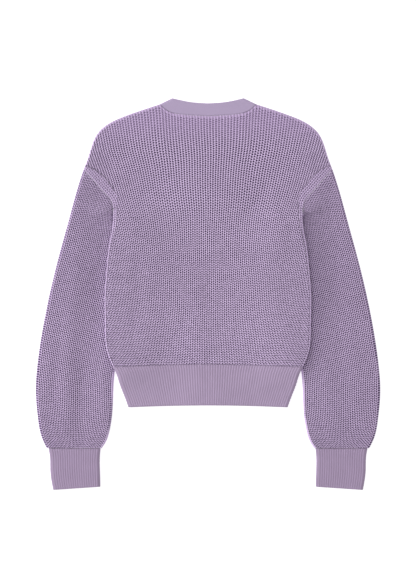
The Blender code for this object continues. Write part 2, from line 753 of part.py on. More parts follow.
def make_neckband(finish):
    """Neckband: up one front neckline, round the back of the neck and down the other.

    Its columns run from the right front to the left front. Each crosses the band from
    the seam to the free edge. The band folds over at both sides of the neck.
    """
    neck_seam = BACK_NECK_LINE
    neck_edge = smooth(NECK_EDGE)
    front_seam = FRONT_NECK_LINE[::-1]
    front_edge = smooth(FRONT_NECK_EDGE)
    leg = np.stack([along(front_seam, LEG_SHARES), along(front_edge, LEG_SHARES)])
    back = np.stack([along(neck_seam, NAPE_SHARES), along(neck_edge, NAPE_SHARES)])
    half = np.concatenate([leg[:, :0:-1], back], axis=1)
    whole = np.concatenate([half, half[:, -2::-1] * (-1.0, 1.0)], axis=1)
    seam, edge = whole
    width = np.linalg.norm(edge - seam, axis=-1)
    steps = np.concatenate(
        [(NECK_SEAM_GAP / width)[None], np.ones(len(width)) * np.array([BAND_WIDTH_STEPS]).T]
    )
    plan = seam + steps[..., None] * (edge - seam)
    legs = len(LEG_SHARES) - 1
    columns = plan.shape[1]
    side = np.ones(columns)
    side[:legs] = -1
    side[-legs:] = -1
    rises = np.zeros(plan.shape[:-1])
    rises[:, :legs] = front_rise(plan[:, :legs], BUTTONHOLE_BAND_RISE)
    rises[:, -legs:] = front_rise(plan[:, -legs:], BUTTON_BAND_RISE)
    outer, inner = layer(plan, (TOP_FOLD,), BAND_WALL, flat_middle, side, rises, least=0.0)
    outer[-1, :, 2] -= side * BAND_EDGE_SOFTNESS
    inner[-1, :, 2] += side * BAND_EDGE_SOFTNESS
    share = np.ones((len(steps), 1)) * np.linspace(0, 1, columns)
    wall_solid("neckband", outer, inner, share, share, finish)


def make_front_band(name, height, finish):
    """A straight front band: a rounded strip from the neckband to the hem's edge."""
    top = FRONT_NECK_SEAM[-1][1] - SEAM_GAP
    bottom = HEM_EDGE[2][1]
    half, thick, soft = BAND_HALF_WIDTH, BAND_WALL, BAND_EDGE_SOFTNESS
    profile = np.array(
        [
            (-half, soft),
            (-half + soft, 0.0),
            (half - soft, 0.0),
            (half, soft),
            (half, thick - soft),
            (half - soft, thick),
            (-half + soft, thick),
            (-half, thick - soft),
        ]
    )
    rows = np.linspace(bottom, top, BAND_ROWS)
    points = [[(x, y, z + height) for x, z in profile] for y in rows]
    index = np.arange(len(rows) * len(profile)).reshape(len(rows), len(profile))
    faces = grid_faces(index, True) + [index[0].tolist(), index[-1].tolist()]
    add_solid(name, np.array(points).reshape(-1, 3), faces, finish)


def make_button(name, height, finish):
    """A turned button with softened edges, its face on the surface."""
    radius, thick, soft = BUTTON_RADIUS, BUTTON_THICKNESS, BUTTON_EDGE
    profile = (
        (radius - soft, 0.0),
        (radius, soft),
        (radius, thick - soft),
        (radius - soft, thick),
    )
    turn = np.arange(BUTTON_SIDES) * 2 * math.pi / BUTTON_SIDES
    ring = np.stack([np.cos(turn), np.sin(turn)], axis=-1)
    points = [[(r * c, height + r * s, z) for c, s in ring] for r, z in profile]
    index = np.arange(len(profile) * BUTTON_SIDES).reshape(len(profile), BUTTON_SIDES)
    faces = grid_faces(index, True) + [index[0].tolist(), index[-1].tolist()]
    add_solid(name, np.array(points).reshape(-1, 3), faces, finish)


# ---------------------------------------------------------------- the cardigan


for old in list(bpy.data.objects):
    bpy.data.objects.remove(old, do_unlink=True)

make_back(material("back knit", srgb(176, 158, 186), 0.9))
make_hem_back(material("hem back rib", srgb(174, 155, 183), 0.9))
for name, side, front_height, hem_name in (
    ("front_left", -1.0, FRONT_LEFT_RISE, "hem_front_left"),
    ("front_right", 1.0, FRONT_RIGHT_RISE, "hem_front_right"),
):
    make_front(name, side, front_height, material(f"{name} knit", srgb(176, 158, 186), 0.9))
    make_hem_front(
        hem_name, side, front_height, material(f"{hem_name} rib", srgb(174, 155, 183), 0.9)
    )
for wearer, side in (("left", -1.0), ("right", 1.0)):
    knit = material(f"sleeve {wearer} knit", srgb(172, 154, 182), 0.9)
    rib = material(f"cuff {wearer} rib", srgb(170, 152, 180), 0.9)
    make_sleeve(f"sleeve_{wearer}", side, knit)
    make_cuff(f"cuff_{wearer}", side, rib)
make_neckband(material("neckband knit", srgb(180, 164, 191), 0.85))
make_front_band(
    "buttonhole_band", BUTTONHOLE_BAND_RISE, material("buttonhole band", srgb(180, 164, 191), 0.85)
)
make_front_band(
    "button_band", BUTTON_BAND_RISE, material("button band", srgb(180, 164, 191), 0.85)
)
for number in range(BUTTONS):
    drop = (TOP_BUTTON_HEIGHT - LOWEST_BUTTON_HEIGHT) * number / (BUTTONS - 1)
    make_button(
        f"button_{number + 1}",
        TOP_BUTTON_HEIGHT - drop,
        material(f"button {number + 1}", srgb(166, 148, 178), 0.35),
    )
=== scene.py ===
"""A lilac knitted cardigan laid flat, back up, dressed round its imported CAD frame.

Sizes and tables are in millimetres and the meshes in metres. For someone who looks down
at the back, +X is to the right and +Y runs from the hem to the neck. Outline tables give
the garment's right half, and its left half is the mirror image.
"""

import math

import bpy
import numpy as np
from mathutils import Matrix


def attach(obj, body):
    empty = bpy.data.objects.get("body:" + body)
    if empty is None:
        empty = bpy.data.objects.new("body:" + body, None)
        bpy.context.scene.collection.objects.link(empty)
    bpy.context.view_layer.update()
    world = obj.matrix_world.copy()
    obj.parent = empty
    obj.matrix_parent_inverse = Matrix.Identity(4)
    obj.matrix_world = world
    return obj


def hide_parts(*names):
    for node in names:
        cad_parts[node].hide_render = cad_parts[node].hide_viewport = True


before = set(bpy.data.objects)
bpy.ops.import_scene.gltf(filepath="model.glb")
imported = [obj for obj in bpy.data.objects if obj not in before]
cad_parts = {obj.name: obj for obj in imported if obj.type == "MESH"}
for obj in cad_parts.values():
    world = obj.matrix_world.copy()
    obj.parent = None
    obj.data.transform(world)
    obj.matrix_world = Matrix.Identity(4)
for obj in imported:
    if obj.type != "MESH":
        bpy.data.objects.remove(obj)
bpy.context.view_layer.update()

# ------------------------------------------------------------------ studio
# The cardigan lies on a white table and is photographed from straight above. A soft
# lamp shines from the upper left, a window stands at the left, and a white room fills
# the shadows.

MM = 0.001
PICTURE = (416, 588)
PIXEL = 1.85 * MM             # what one pixel covers on the cloth
CAMERA_HEIGHT = 3.0
SENSOR = 36.0
LAMP_FROM = (-1.0, 1.1, 1.9)  # direction towards the lamp
LAMP_STRENGTH = 0.85
LAMP_SPREAD = 50.0            # degrees
WINDOW_PLACE = (-3.8, -0.1, 1.0)
WINDOW_SIZE = 2.2
WINDOW_POWER = 105.0          # watts
ROOM_STRENGTH = 0.55
WHITE = (1.0, 1.0, 1.0, 1.0)
TABLE_HALF = 3.0
TABLE_TOP = -0.0002           # just under the cloth
TABLE_COLOUR = (0.82, 0.82, 0.82, 1.0)
TABLE_GLOW = 0.6


def put(name, data):
    """A new object in the scene."""
    made = bpy.data.objects.new(name, data)
    bpy.context.scene.collection.objects.link(made)
    return made


def turned_to_middle(x, y, z):
    """Turn of a lamp that shines from (x, y, z) to the middle.

    It tips by the angle between that direction and straight up, and then turns a
    quarter circle more than the direction does on the table.
    """
    return math.atan2(math.hypot(x, y), z), 0.0, math.atan2(y, x) + math.pi / 2


camera = put("camera", bpy.data.cameras.new("camera"))
camera.data.sensor_width = SENSOR
camera.data.lens = SENSOR * CAMERA_HEIGHT / (PICTURE[1] * PIXEL)
camera.location = (0.0, 0.0, CAMERA_HEIGHT)
bpy.context.scene.camera = camera
bpy.context.scene.view_settings.view_transform = "Standard"

lamp = put("lamp", bpy.data.lights.new("lamp", "SUN"))
lamp.data.energy = LAMP_STRENGTH
lamp.data.angle = math.radians(LAMP_SPREAD)
lamp.rotation_euler = turned_to_middle(*LAMP_FROM)

window = put("window", bpy.data.lights.new("window", "AREA"))
window.data.energy = WINDOW_POWER
window.data.size = WINDOW_SIZE
window.location = WINDOW_PLACE
window.rotation_euler = turned_to_middle(*WINDOW_PLACE)

room = bpy.data.worlds.new("room")
room.use_nodes = True
room.node_tree.nodes["Background"].inputs["Color"].default_value = WHITE
room.node_tree.nodes["Background"].inputs["Strength"].default_value = ROOM_STRENGTH
bpy.context.scene.world = room

table_mesh = bpy.data.meshes.new("table")
table_corners = [
    (x * TABLE_HALF, y * TABLE_HALF, TABLE_TOP) for x, y in ((-1, -1), (1, -1), (1, 1), (-1, 1))
]
table_mesh.from_pydata(table_corners, [], [(0, 1, 2, 3)])
table_finish = bpy.data.materials.new("white table")
table_finish.use_nodes = True
table_shader = table_finish.node_tree.nodes["Principled BSDF"]
table_shader.inputs["Base Color"].default_value = TABLE_COLOUR
table_shader.inputs["Roughness"].default_value = 1.0
table_shader.inputs["Specular IOR Level"].default_value = 0.0
table_shader.inputs["Emission Color"].default_value = WHITE
table_shader.inputs["Emission Strength"].default_value = TABLE_GLOW
table_mesh.materials.append(table_finish)
table = put("table", table_mesh)

# ------------------------------------------------------------------ back
# The back panel is one piece of half-cardigan knit in lilac cotton. Its wales fan out
# from the hem to the shoulders, and its stitches lean by turns, so that the holes
# between them stand in staggered columns. It ends in seams at the hem, neck and arms.

HALF_THICK = 3.75             # from the plane between two layers to their outer faces
KNIT_WALL = 2.8
SEAM_GAP = 0.3
SIDE_RISE = 9.0               # the body's sides lie on the tucked sleeve edges
SIDE_RAMP = 28.0
BACK_RAMP = 140.0             # the back bridges the ramp of the fronts below it
RAMP_CLEAR = 7.0
CENTRE_RISE = 2.8             # a soft ridge over the closed front bands
CENTRE_RIDGE = (90.0, 10.0)
CENTRE_RISE_FADES = (290.0, 215.0)
SIDE_RISE_ENDS = (178.0, 140.0)
SIDE_RISE_FADES = (-185.0, -142.0)

BODY_SIDE = (  # half width, height
    (175.0, 157.0),
    (174.8, 141.0),
    (176.3, 123.0),
    (182.4, 90.5),
    (187.6, 42.4),
    (190.9, -2.0),
    (190.2, -57.5),
    (186.9, -103.8),
    (182.2, -118.6),
    (175.5, -134.3),
)
HEM_SIDE = (
    (175.5, -134.3),
    (169.6, -145.0),
    (162.8, -166.7),
    (154.5, -189.0),
    (147.1, -209.2),
)
ARMHOLE = (
    (175.0, 157.0),
    (178.4, 171.0),
    (193.5, 189.5),
    (207.5, 205.5),
    (230.0, 230.0),
)
SHOULDER = (
    (230.0, 230.0),
    (222.5, 250.0),
    (213.5, 278.0),
    (205.0, 295.5),
    (192.5, 308.5),
    (150.0, 330.0),
    (89.7, 350.4),
)
NECK_SEAM = ((89.7, 350.4), (76.5, 338.6), (48.0, 331.2), (0.0, 328.2))
NECK_EDGE = ((66.6, 361.7), (34.0, 354.6), (0.0, 351.9))
HEM_SEAM = ((-175.5, -134.3), (-90.0, -131.0), (0.0, -129.7), (90.0, -131.0), (175.5, -134.3))
SLEEVE_OUTER = (
    (230.0, 230.0),
    (238.7, 203.3),
    (255.3, 144.1),
    (279.4, 55.3),
    (299.7, -33.5),
    (314.2, -122.3),
    (318.2, -181.0),
    (314.5, -228.0),
    (307.5, -264.0),
    (298.0, -284.5),
)
SLEEVE_INNER = (
    (175.5, 157.0),
    (175.4, 150.0),
    (175.1, 143.0),
    (169.0, 127.0),
    (158.5, 103.0),
    (149.0, 70.0),
    (146.0, 20.0),
    (151.0, -40.0),
    (160.0, -90.0),
    (171.8, -140.0),
    (175.8, -203.7),
    (182.5, -255.5),
    (188.5, -273.0),
    (196.2, -284.5),
)

BODY_WALE_PITCH = (  # height, distance between wales there
    (-134.0, 2.92),
    (-107.0, 3.05),
    (-20.0, 3.35),
    (35.0, 3.5),
    (90.0, 3.7),
    (146.0, 4.0),
    (211.0, 4.55),
    (266.0, 5.0),
    (350.0, 5.5),
)
WALES_EACH_WAY = 62           # from the middle, more than reach the sides
WALE_SPREAD = (1.04, 0.05, 50.0)  # pitch in the middle, what it loses, by which wale
WIDEST_PITCH = 6.0            # more than the pitch is anywhere
MEAN_PITCH = 4.0
WALE_ROUNDS = 6               # in which a point's wale number is found
GRID_ROUNDS = 10              # and in which a panel's grid is
COLUMNS_A_WALE = 4
BODY_COURSES = 66             # below the underarm
YOKE_COURSES = 40
ROWS_A_COURSE = 2
PLAIN_STEP = 4                # an inner sheet has every fourth row
PLAIN_COLUMNS = (121, 61)     # of a whole panel's inner sheet, and of a half one's
FOLD_INSETS = (0.0, 0.35, 1.1, 2.3, 3.75)
STITCH_HEIGHT = 0.75          # of the ridges over the bars between them
HOLE_DEPTH = 1.0              # of the holes under those bars
COURSE_PITCH = 4.25
PLAIN_EDGE = (0.0, 3.0)       # the holes come in from here past the plain side wales
PLAIN_END = (-0.5, 1.6)       # and here from an end seam
SIDE_PLAIN = 4.5              # plain wales along the sides, from here down
SIDE_PLAIN_GROWS = (60.0, 157.0)
YOKE_PLAIN = (8.0, 11.0)      # along an armhole: at its ends, and more in its middle
ARMHOLE_COURSES = 0.56        # of the yoke's courses reach the plain wales there
EDGE_WALE_PITCH = 3.9
PLAIN_OPENING = 0.65          # of the small holes between the plain wales
FINE_TOP = (262.0, 325.0)     # the stitches close up between these heights
FINE_OPENING = 0.6
WOBBLE = (0.11, 0.17)         # shifts of the wales and of the courses, in stitches
ON_FOLD = 0.02                # a point this near a fold line is on it
JUST_OUTSIDE = 0.5            # and so is one beyond it by less than this
POINTS_AT_ONCE = 2000

CREASES = (  # x, y, length, width, turn from +X in degrees, height
    (25.0, 84.0, 130.0, 13.0, 2.0, 2.4),
    (25.0, 56.0, 130.0, 13.0, 2.0, -1.6),
    (60.0, 205.0, 60.0, 30.0, 70.0, 1.4),
    (-45.0, -60.0, 90.0, 40.0, 90.0, 1.2),
    (-60.0, 150.0, 60.0, 24.0, 20.0, 1.6),
    (128.0, 118.0, 50.0, 20.0, 80.0, 1.4),
    (95.0, 175.0, 46.0, 12.0, 55.0, -1.4),
    (-20.0, -70.0, 90.0, 26.0, 88.0, 1.2),
    (-130.0, -10.0, 75.0, 14.0, 86.0, -1.6),
    (-252.0, -20.0, 125.0, 18.0, 85.0, 2.2),
    (-204.0, -10.0, 125.0, 16.0, 86.0, -2.4),
    (-262.0, -170.0, 85.0, 15.0, 88.0, 1.8),
    (-232.0, -180.0, 90.0, 14.0, 88.0, -2.0),
    (-192.0, -190.0, 80.0, 14.0, 90.0, 1.8),
    (-297.0, -150.0, 100.0, 12.0, 82.0, 1.2),
    (268.0, 60.0, 110.0, 16.0, 101.0, 1.4),
    (197.0, 5.0, 100.0, 12.0, 90.0, 1.6),
    (231.0, 10.0, 110.0, 19.0, 92.0, -2.6),
    (224.0, -175.0, 100.0, 24.0, 94.0, 2.2),
    (270.0, -165.0, 90.0, 22.0, 97.0, 1.4),
)
LEAST_CREASE = -0.6           # of a body panel's inner face
FREE_CREASE = -9.0            # lower than any crease


def smooth(rows, spacing=2.0):
    """Points along a natural cubic spline through the rows, over their chord length."""
    knots = np.array(rows, float)
    chord = lengths(knots)
    steps = np.linalg.norm(np.diff(knots, axis=0), axis=1)
    count = len(knots)
    inner = np.arange(1, count - 1)
    system = np.eye(count)
    system[inner, inner - 1] = steps[:-1]
    system[inner, inner] = 2 * (steps[:-1] + steps[1:])
    system[inner, inner + 1] = steps[1:]
    slopes = np.diff(knots, axis=0) / steps[:, None]
    right = np.zeros((count, 2))
    right[1:-1] = 6 * np.diff(slopes, axis=0)
    bend = np.linalg.solve(system, right)
    place = np.linspace(0.0, chord[-1], max(2, round(chord[-1] / spacing)))
    i = np.clip(np.searchsorted(chord, place, side="right") - 1, 0, count - 2)
    step = steps[i][:, None]
    ahead = (chord[i + 1] - place)[:, None]
    behind = (place - chord[i])[:, None]
    curved = (bend[i] * ahead**3 + bend[i + 1] * behind**3) / (6 * step)
    straight = (knots[i] / step - bend[i] * step / 6) * ahead
    straight += (knots[i + 1] / step - bend[i + 1] * step / 6) * behind
    return curved + straight


def lengths(line):
    """Length of a line up to each of its points."""
    steps = np.linalg.norm(np.diff(line, axis=0), axis=1)
    return np.concatenate([[0.0], np.cumsum(steps)])


def along(line, share):
    """The points at shares of a line's length."""
    length = lengths(line)
    place = np.asarray(share, float) * length[-1]
    return np.stack([np.interp(place, length, line[:, k]) for k in (0, 1)], axis=-1)


def height_over(line, x):
    """A line's height where it passes x."""
    ordered = line[np.argsort(line[:, 0])]
    return np.interp(x, ordered[:, 0], ordered[:, 1])


def width_at(line, y):
    """A line's distance from the middle where it passes the height y."""
    return height_over(line[:, ::-1], y)


def rise(value, none, full):
    """0 up to `none`, 1 from `full` on, and a smooth S between them."""
    share = np.clip((value - none) / (full - none), 0.0, 1.0)
    return share * share * (3 - 2 * share)


side_line = smooth(BODY_SIDE)
hem_side_line = smooth(HEM_SIDE)
shoulder_line = smooth(SHOULDER)
armhole_line = smooth(ARMHOLE)
neck_seam_line = smooth(NECK_SEAM)
hem_seam_line = smooth(HEM_SEAM)
sleeve_outer_line = smooth(SLEEVE_OUTER)
sleeve_inner_line = smooth(SLEEVE_INNER)
neck_fold = np.array([NECK_EDGE[0], NECK_SEAM[0]])

# Each fold line runs clockwise round its piece, so that the cloth is on its right
TOP_FOLD = np.concatenate([neck_fold, shoulder_line[::-1], sleeve_outer_line[1:]])
SIDE_FOLD = np.concatenate([side_line, hem_side_line[1:]])
INNER_FOLD = sleeve_inner_line[::-1]


def body_level(plan, ramp=SIDE_RAMP):
    """Height of the plane between the body's layers.

    It lies half a thickness over the table, comes up over the tucked sleeve edges at
    the sides, and is down again above the underarm and at the hem.
    """
    x = np.abs(plan[..., 0])
    y = plan[..., 1]
    edge = np.interp(y, INNER_FOLD[:, 1], INNER_FOLD[:, 0])
    over_sleeve = rise(x, edge - RAMP_CLEAR - ramp, edge - RAMP_CLEAR)
    window = rise(y, *SIDE_RISE_ENDS) * rise(y, *SIDE_RISE_FADES)
    return HALF_THICK + SIDE_RISE * over_sleeve * window


def back_level(plan):
    """The body's level under the back, which comes up more gently."""
    return body_level(plan, BACK_RAMP)


def crease_height(plan, least=FREE_CREASE):
    """Sum of the creases, each a bell across its width and along its length.

    An inner sheet stays above `least`, clear of the layer below it.
    """
    total = np.zeros(plan.shape[:-1])
    for x, y, length, width, turn, height in CREASES:
        angle = math.radians(turn)
        offset = plan - (x, y)
        ahead = offset[..., 0] * math.cos(angle) + offset[..., 1] * math.sin(angle)
        aside = offset[..., 1] * math.cos(angle) - offset[..., 0] * math.sin(angle)
        total += height * np.exp(-((ahead / length) ** 2) - (aside / width) ** 2)
    return np.maximum(total, least)


def back_rise(plan, least=FREE_CREASE):
    """How far the back stands up over the front bands, with its soft creases."""
    x = np.abs(plan[..., 0])
    y = plan[..., 1]
    ridge = CENTRE_RISE * rise(x, *CENTRE_RIDGE) * rise(y, *CENTRE_RISE_FADES)
    return ridge + crease_height(plan, least)


def nearest_fold(plan, folds):
    """Each point's distance from the nearest fold line, and the way into the cloth.

    The foot on each straight step is its start plus a clipped share of the step. A
    point on or just outside a fold has distance 0, and its way is the step's right.
    """
    sign = np.where(plan[..., 0] < 0, -1.0, 1.0).reshape(-1)
    points = plan.reshape(-1, 2) * np.stack([sign, np.ones_like(sign)], axis=-1)
    start = np.concatenate([fold[:-1] for fold in folds])
    step = np.concatenate([np.diff(fold, axis=0) for fold in folds])
    size = (step**2).sum(axis=1)
    right = step[:, ::-1] * (1.0, -1.0) / np.sqrt(size)[:, None]
    distance = np.zeros(len(points))
    inward = np.zeros_like(points)
    for chunk in np.array_split(np.arange(len(points)), len(points) // POINTS_AT_ONCE + 1):
        x = points[chunk, 0, None] - start[:, 0]
        y = points[chunk, 1, None] - start[:, 1]
        share = np.clip((x * step[:, 0] + y * step[:, 1]) / size, 0.0, 1.0)
        x -= share * step[:, 0]
        y -= share * step[:, 1]
        gap = x * x + y * y
        best = gap.argmin(axis=1)
        rows = np.arange(len(chunk))
        found = np.sqrt(gap[rows, best])
        away = np.stack([x[rows, best], y[rows, best]], axis=1)
        outside = (away * right[best]).sum(axis=1) < 0
        on_line = (found < ON_FOLD) | ((found < JUST_OUTSIDE) & outside)
        away /= np.maximum(found, 1e-9)[:, None]
        distance[chunk] = np.where(on_line, 0.0, found)
        inward[chunk] = np.where(on_line[:, None], right[best], away)
    inward[:, 0] *= sign
    return distance.reshape(plan.shape[:-1]), inward.reshape(plan.shape)


def cloth(plan, folds, wall, level, side, extra=0.0, relief=0.0, least=SEAM_GAP / 2):
    """Outer and inner points of one layer of cloth over its plan points.

    Away from a fold the outer face lies HALF_THICK above (side 1) or below (side -1)
    the middle level, plus its relief. Within HALF_THICK of a fold it turns round a
    quarter circle: cosine = 1 - distance / HALF_THICK, and all heights are multiplied
    by the sine. The inner point lies a wall nearer the circle's centre. Both stay
    `least` from the middle level.
    """
    distance, inward = nearest_fold(plan, folds)
    cosine = np.clip(1 - distance / HALF_THICK, 0.0, 1.0)
    sine = np.sqrt(1 - cosine**2)
    middle = level(plan) + extra * sine
    outer_height = middle + side * np.maximum((HALF_THICK + relief) * sine, least)
    inner_height = middle + side * np.maximum((HALF_THICK - wall) * sine, least)
    outer = np.concatenate([plan, outer_height[..., None]], axis=-1)
    inner_plan = plan + wall * cosine[..., None] * inward
    inner = np.concatenate([inner_plan, inner_height[..., None]], axis=-1)
    return outer, inner


def stitch_opening(past, from_end, height):
    """How far the holes are open: less in the plain wales and high up, 0 at a seam."""
    inside = PLAIN_OPENING + (1 - PLAIN_OPENING) * rise(past, *PLAIN_EDGE)
    high = 1 - (1 - FINE_OPENING) * rise(height, *FINE_TOP)
    return inside * high * rise(from_end, *PLAIN_END)


def ridges(number):
    """0 at whole numbers and 1 halfway between them: half of 1 - cosine."""
    return 0.5 - 0.5 * np.cos(2 * np.pi * number)


def stitch_relief(wale, course, opening):
    """Height of half-cardigan stitches over the bars between their wales.

    A ridge stands between whole wales. A strand crosses it from one whole wale to the
    next and rises half a course on the way. At whole wales the strands meet in bars,
    and a hole lies between two bars where the opening is 1.
    """
    ridge = ridges(wale)
    lean = np.abs((wale + 1) % 2 - 1)
    strand = np.abs(np.sin(np.pi * (course - lean / 2)))
    return STITCH_HEIGHT * ridge - HOLE_DEPTH * (1 - ridge) * (1 - strand) * opening


def grid_numbers(rows, columns):
    """Numbers of a grid's points, row after row."""
    return np.arange(rows * columns).reshape(rows, columns)


def closed_round(grid):
    """The grid with its first column again after its last."""
    return np.concatenate([grid, grid[:, :1]], axis=1)


def sheet_faces(index):
    """Two triangles for each cell of an index grid, less those that have no area."""
    first = np.stack([index[:-1, :-1], index[:-1, 1:], index[1:, 1:]], axis=-1)
    second = np.stack([index[:-1, :-1], index[1:, 1:], index[1:, :-1]], axis=-1)
    return drop_flat(np.concatenate([first.reshape(-1, 3), second.reshape(-1, 3)]))


def drop_flat(faces):
    """The triangles whose three corners differ."""
    a, b, c = faces.T
    return faces[(a != b) & (b != c) & (c != a)]


def rim_faces(fine, fine_share, coarse, coarse_share):
    """Triangles between a fine and a coarse row of points.

    Each fine step joins the coarse point whose share is nearest its start. Where the
    nearest one changes, a further triangle closes the gap.
    """
    near = np.abs(fine_share[:, None] - coarse_share).argmin(axis=1)
    fans = np.stack([fine[:-1], fine[1:], coarse[near[:-1]]], axis=1)
    gaps = np.stack([fine[1:], coarse[near[1:]], coarse[near[:-1]]], axis=1)
    return drop_flat(np.concatenate([fans, gaps]))


def wall_mesh(outer, inner, index=None, shares=None, closed=False):
    """Points and triangles of the wall between an outer and a coarser inner sheet.

    The outer sheet may join points by `index`. Rims join the sheets' edges by shares:
    those of the outer columns and of the inner ones. The rows keep one ratio.
    """
    rows, columns = outer.shape[:2]
    inner_rows, inner_columns = inner.shape[:2]
    if index is None:
        index = grid_numbers(rows, columns)
    inside = grid_numbers(inner_rows, inner_columns) + rows * columns
    if shares is None:
        shares = [np.linspace(0, 1, n + closed) for n in (columns, inner_columns)]
        shares = [np.tile(s, (rows, 1)) for s in shares]
    if closed:
        index = closed_round(index)
        inside = closed_round(inside)
    faces = [sheet_faces(index), sheet_faces(inside)[:, ::-1]]
    fine, coarse = shares
    faces.append(rim_faces(index[-1], fine[-1], inside[-1], coarse[-1]))
    faces.append(rim_faces(index[0], fine[0], inside[0], coarse[0])[:, ::-1])
    if not closed:
        fine_rows = np.linspace(0, 1, rows)
        coarse_rows = np.linspace(0, 1, inner_rows)
        faces.append(rim_faces(index[:, 0], fine_rows, inside[:, 0], coarse_rows))
        last = rim_faces(index[:, -1], fine_rows, inside[:, -1], coarse_rows)
        faces.append(last[:, ::-1])
    points = np.concatenate([outer.reshape(-1, 3), inner.reshape(-1, 3)])
    return points, np.concatenate(faces)


def add_piece(name, points, faces, maps, finish):
    """One mesh object from points in millimetres, with a UV map for each of `maps`.

    Its triangles are turned round if the volume they enclose is negative.
    """
    corners = points[faces]
    volume = np.einsum("ij,ij->", corners[:, 0], np.cross(corners[:, 1], corners[:, 2]))
    faces = faces if volume > 0 else faces[:, ::-1]
    used, faces = np.unique(faces, return_inverse=True)
    faces = faces.reshape(-1, 3)
    mesh = bpy.data.meshes.new(name)
    mesh.vertices.add(len(used))
    mesh.vertices.foreach_set("co", (points[used] * MM).astype(np.float32).ravel())
    mesh.loops.add(faces.size)
    mesh.loops.foreach_set("vertex_index", faces.astype(np.int32).ravel())
    mesh.polygons.add(len(faces))
    mesh.polygons.foreach_set("loop_start", np.arange(0, faces.size, 3, dtype=np.int32))
    mesh.update(calc_edges=True)
    for map_name, places in maps.items():
        layer = mesh.uv_layers.new(name=map_name)
        layer.data.foreach_set("uv", places[used][faces].astype(np.float32).ravel())
    mesh.materials.append(finish)
    mesh.shade_smooth()
    return put(name, mesh)


def height_at_share(line, share):
    """A line's height at a share of the way from its first x to its last x."""
    x = line[0, 0] + share * (line[-1, 0] - line[0, 0])
    return height_over(line, x)


def panel_shape(low_edges, high_edges, bottom, top, heights, ups):
    """Both ends and the bend of each row of a body panel, and the lines that bend it.

    Below the underarm a row spans the side edges and is bent as the hem seam is, less
    and less on the way up. Above it a row spans two edges at shares of their lengths,
    and is bent as the top edge is, more and more.
    """
    ends = []
    for low, high in zip(low_edges, high_edges):
        below = np.stack([width_at(low, heights), heights], axis=-1)
        ends.append(np.concatenate([below, along(high, ups)]))
    fade = (heights[-1] - heights) / (heights[-1] - heights[0])
    return *ends, np.concatenate([fade, ups]), len(heights), bottom, top


def panel_points(x, shape):
    """Plan points of a panel's rows at distances x from the middle."""
    first, last, bend, low_rows, bottom, top = shape
    share = np.clip((x - first[:, :1]) / (last[:, :1] - first[:, :1]), 0.0, 1.0)
    straight = first[:, 1:] + share * (last[:, 1:] - first[:, 1:])
    low = height_at_share(bottom, share) - bottom[-1, 1]
    chord = top[0, 1] + share * (top[-1, 1] - top[0, 1])
    high = height_at_share(top, share) - chord
    is_low = (np.arange(len(first)) < low_rows)[:, None]
    y = straight + bend[:, None] * np.where(is_low, low, high)
    return np.stack([x + 0 * y, y], axis=-1)


def wale_distance(wale, height):
    """A wale's distance from the middle at a height. The pitch is less at the sides."""
    pitches = np.array(BODY_WALE_PITCH)
    wide, loss, by_wale = WALE_SPREAD
    spread = wale * (wide - loss * (wale / by_wale) ** 2)
    return spread * np.interp(height, pitches[:, 0], pitches[:, 1])


def wale_number(plan):
    """The wale number of plan points: each round adds what is missing over a pitch."""
    wale = plan[..., 0] / wale_distance(1.0, plan[..., 1])
    for _ in range(WALE_ROUNDS):
        wale = wale + (plan[..., 0] - wale_distance(wale, plan[..., 1])) / MEAN_PITCH
    return wale


def wobble(plan):
    """Small shifts of wale and course numbers, as hand-laid cloth has.

    Each is the sum of two sine waves, whose divisors are lengths in millimetres.
    """
    x, y = plan[..., 0], plan[..., 1]
    wale = np.sin(x / 23 + 1.3 * np.sin(y / 41)) + np.sin(y / 17 - x / 61 + 2.0)
    course = np.sin(x / 29 + y / 53 + 0.7) + np.sin(x / 13 - 1.1 * np.sin(y / 37))
    return WOBBLE[0] * wale, WOBBLE[1] * course


def panel_grid(shape, wales, first_insets, last_insets):
    """Distances, plan points and indices of a panel's outer sheet.

    Its columns run along the wales, which fan out: a wale's distance from the middle
    is its number times the pitch at its height. Height and distance are found by
    turns. Wales beyond an edge are joined into one point, and even insets follow.
    """
    first, last = shape[0][:, :1], shape[1][:, :1]
    x = wale_distance(wales, shape[1][:, 1:])
    for _ in range(GRID_ROUNDS):
        y = panel_points(np.clip(x, first, last), shape)[..., 1]
        x = (x + wale_distance(wales, y)) / 2
    low, high = first + first_insets[-1], last - last_insets[-1]
    before = len(first_insets) - 1
    start = before + (x <= low).sum(axis=1)[:, None] - 1
    end = before + len(wales) - (x >= high).sum(axis=1)[:, None]
    sides = [first + first_insets[None, :-1], last - last_insets[None, -2::-1]]
    x = np.concatenate([sides[0], np.clip(x, low, high), sides[1]], axis=1)
    column = np.arange(x.shape[1])[None, :] + 0 * start
    is_wale = (column >= before) & (column < before + len(wales))
    start, end = np.maximum(start, before), np.minimum(end, before + len(wales) - 1)
    column = np.where(is_wale, np.clip(column, start, end), column)
    index = np.arange(len(x))[:, None] * x.shape[1] + column
    return x, panel_points(x, shape), index


def all_places(*sheets):
    """One map's places, sheet after sheet, from pairs of numbers for each point."""
    whole = [np.stack(np.broadcast_arrays(*pair), axis=-1).reshape(-1, 2) for pair in sheets]
    return np.concatenate(whole)


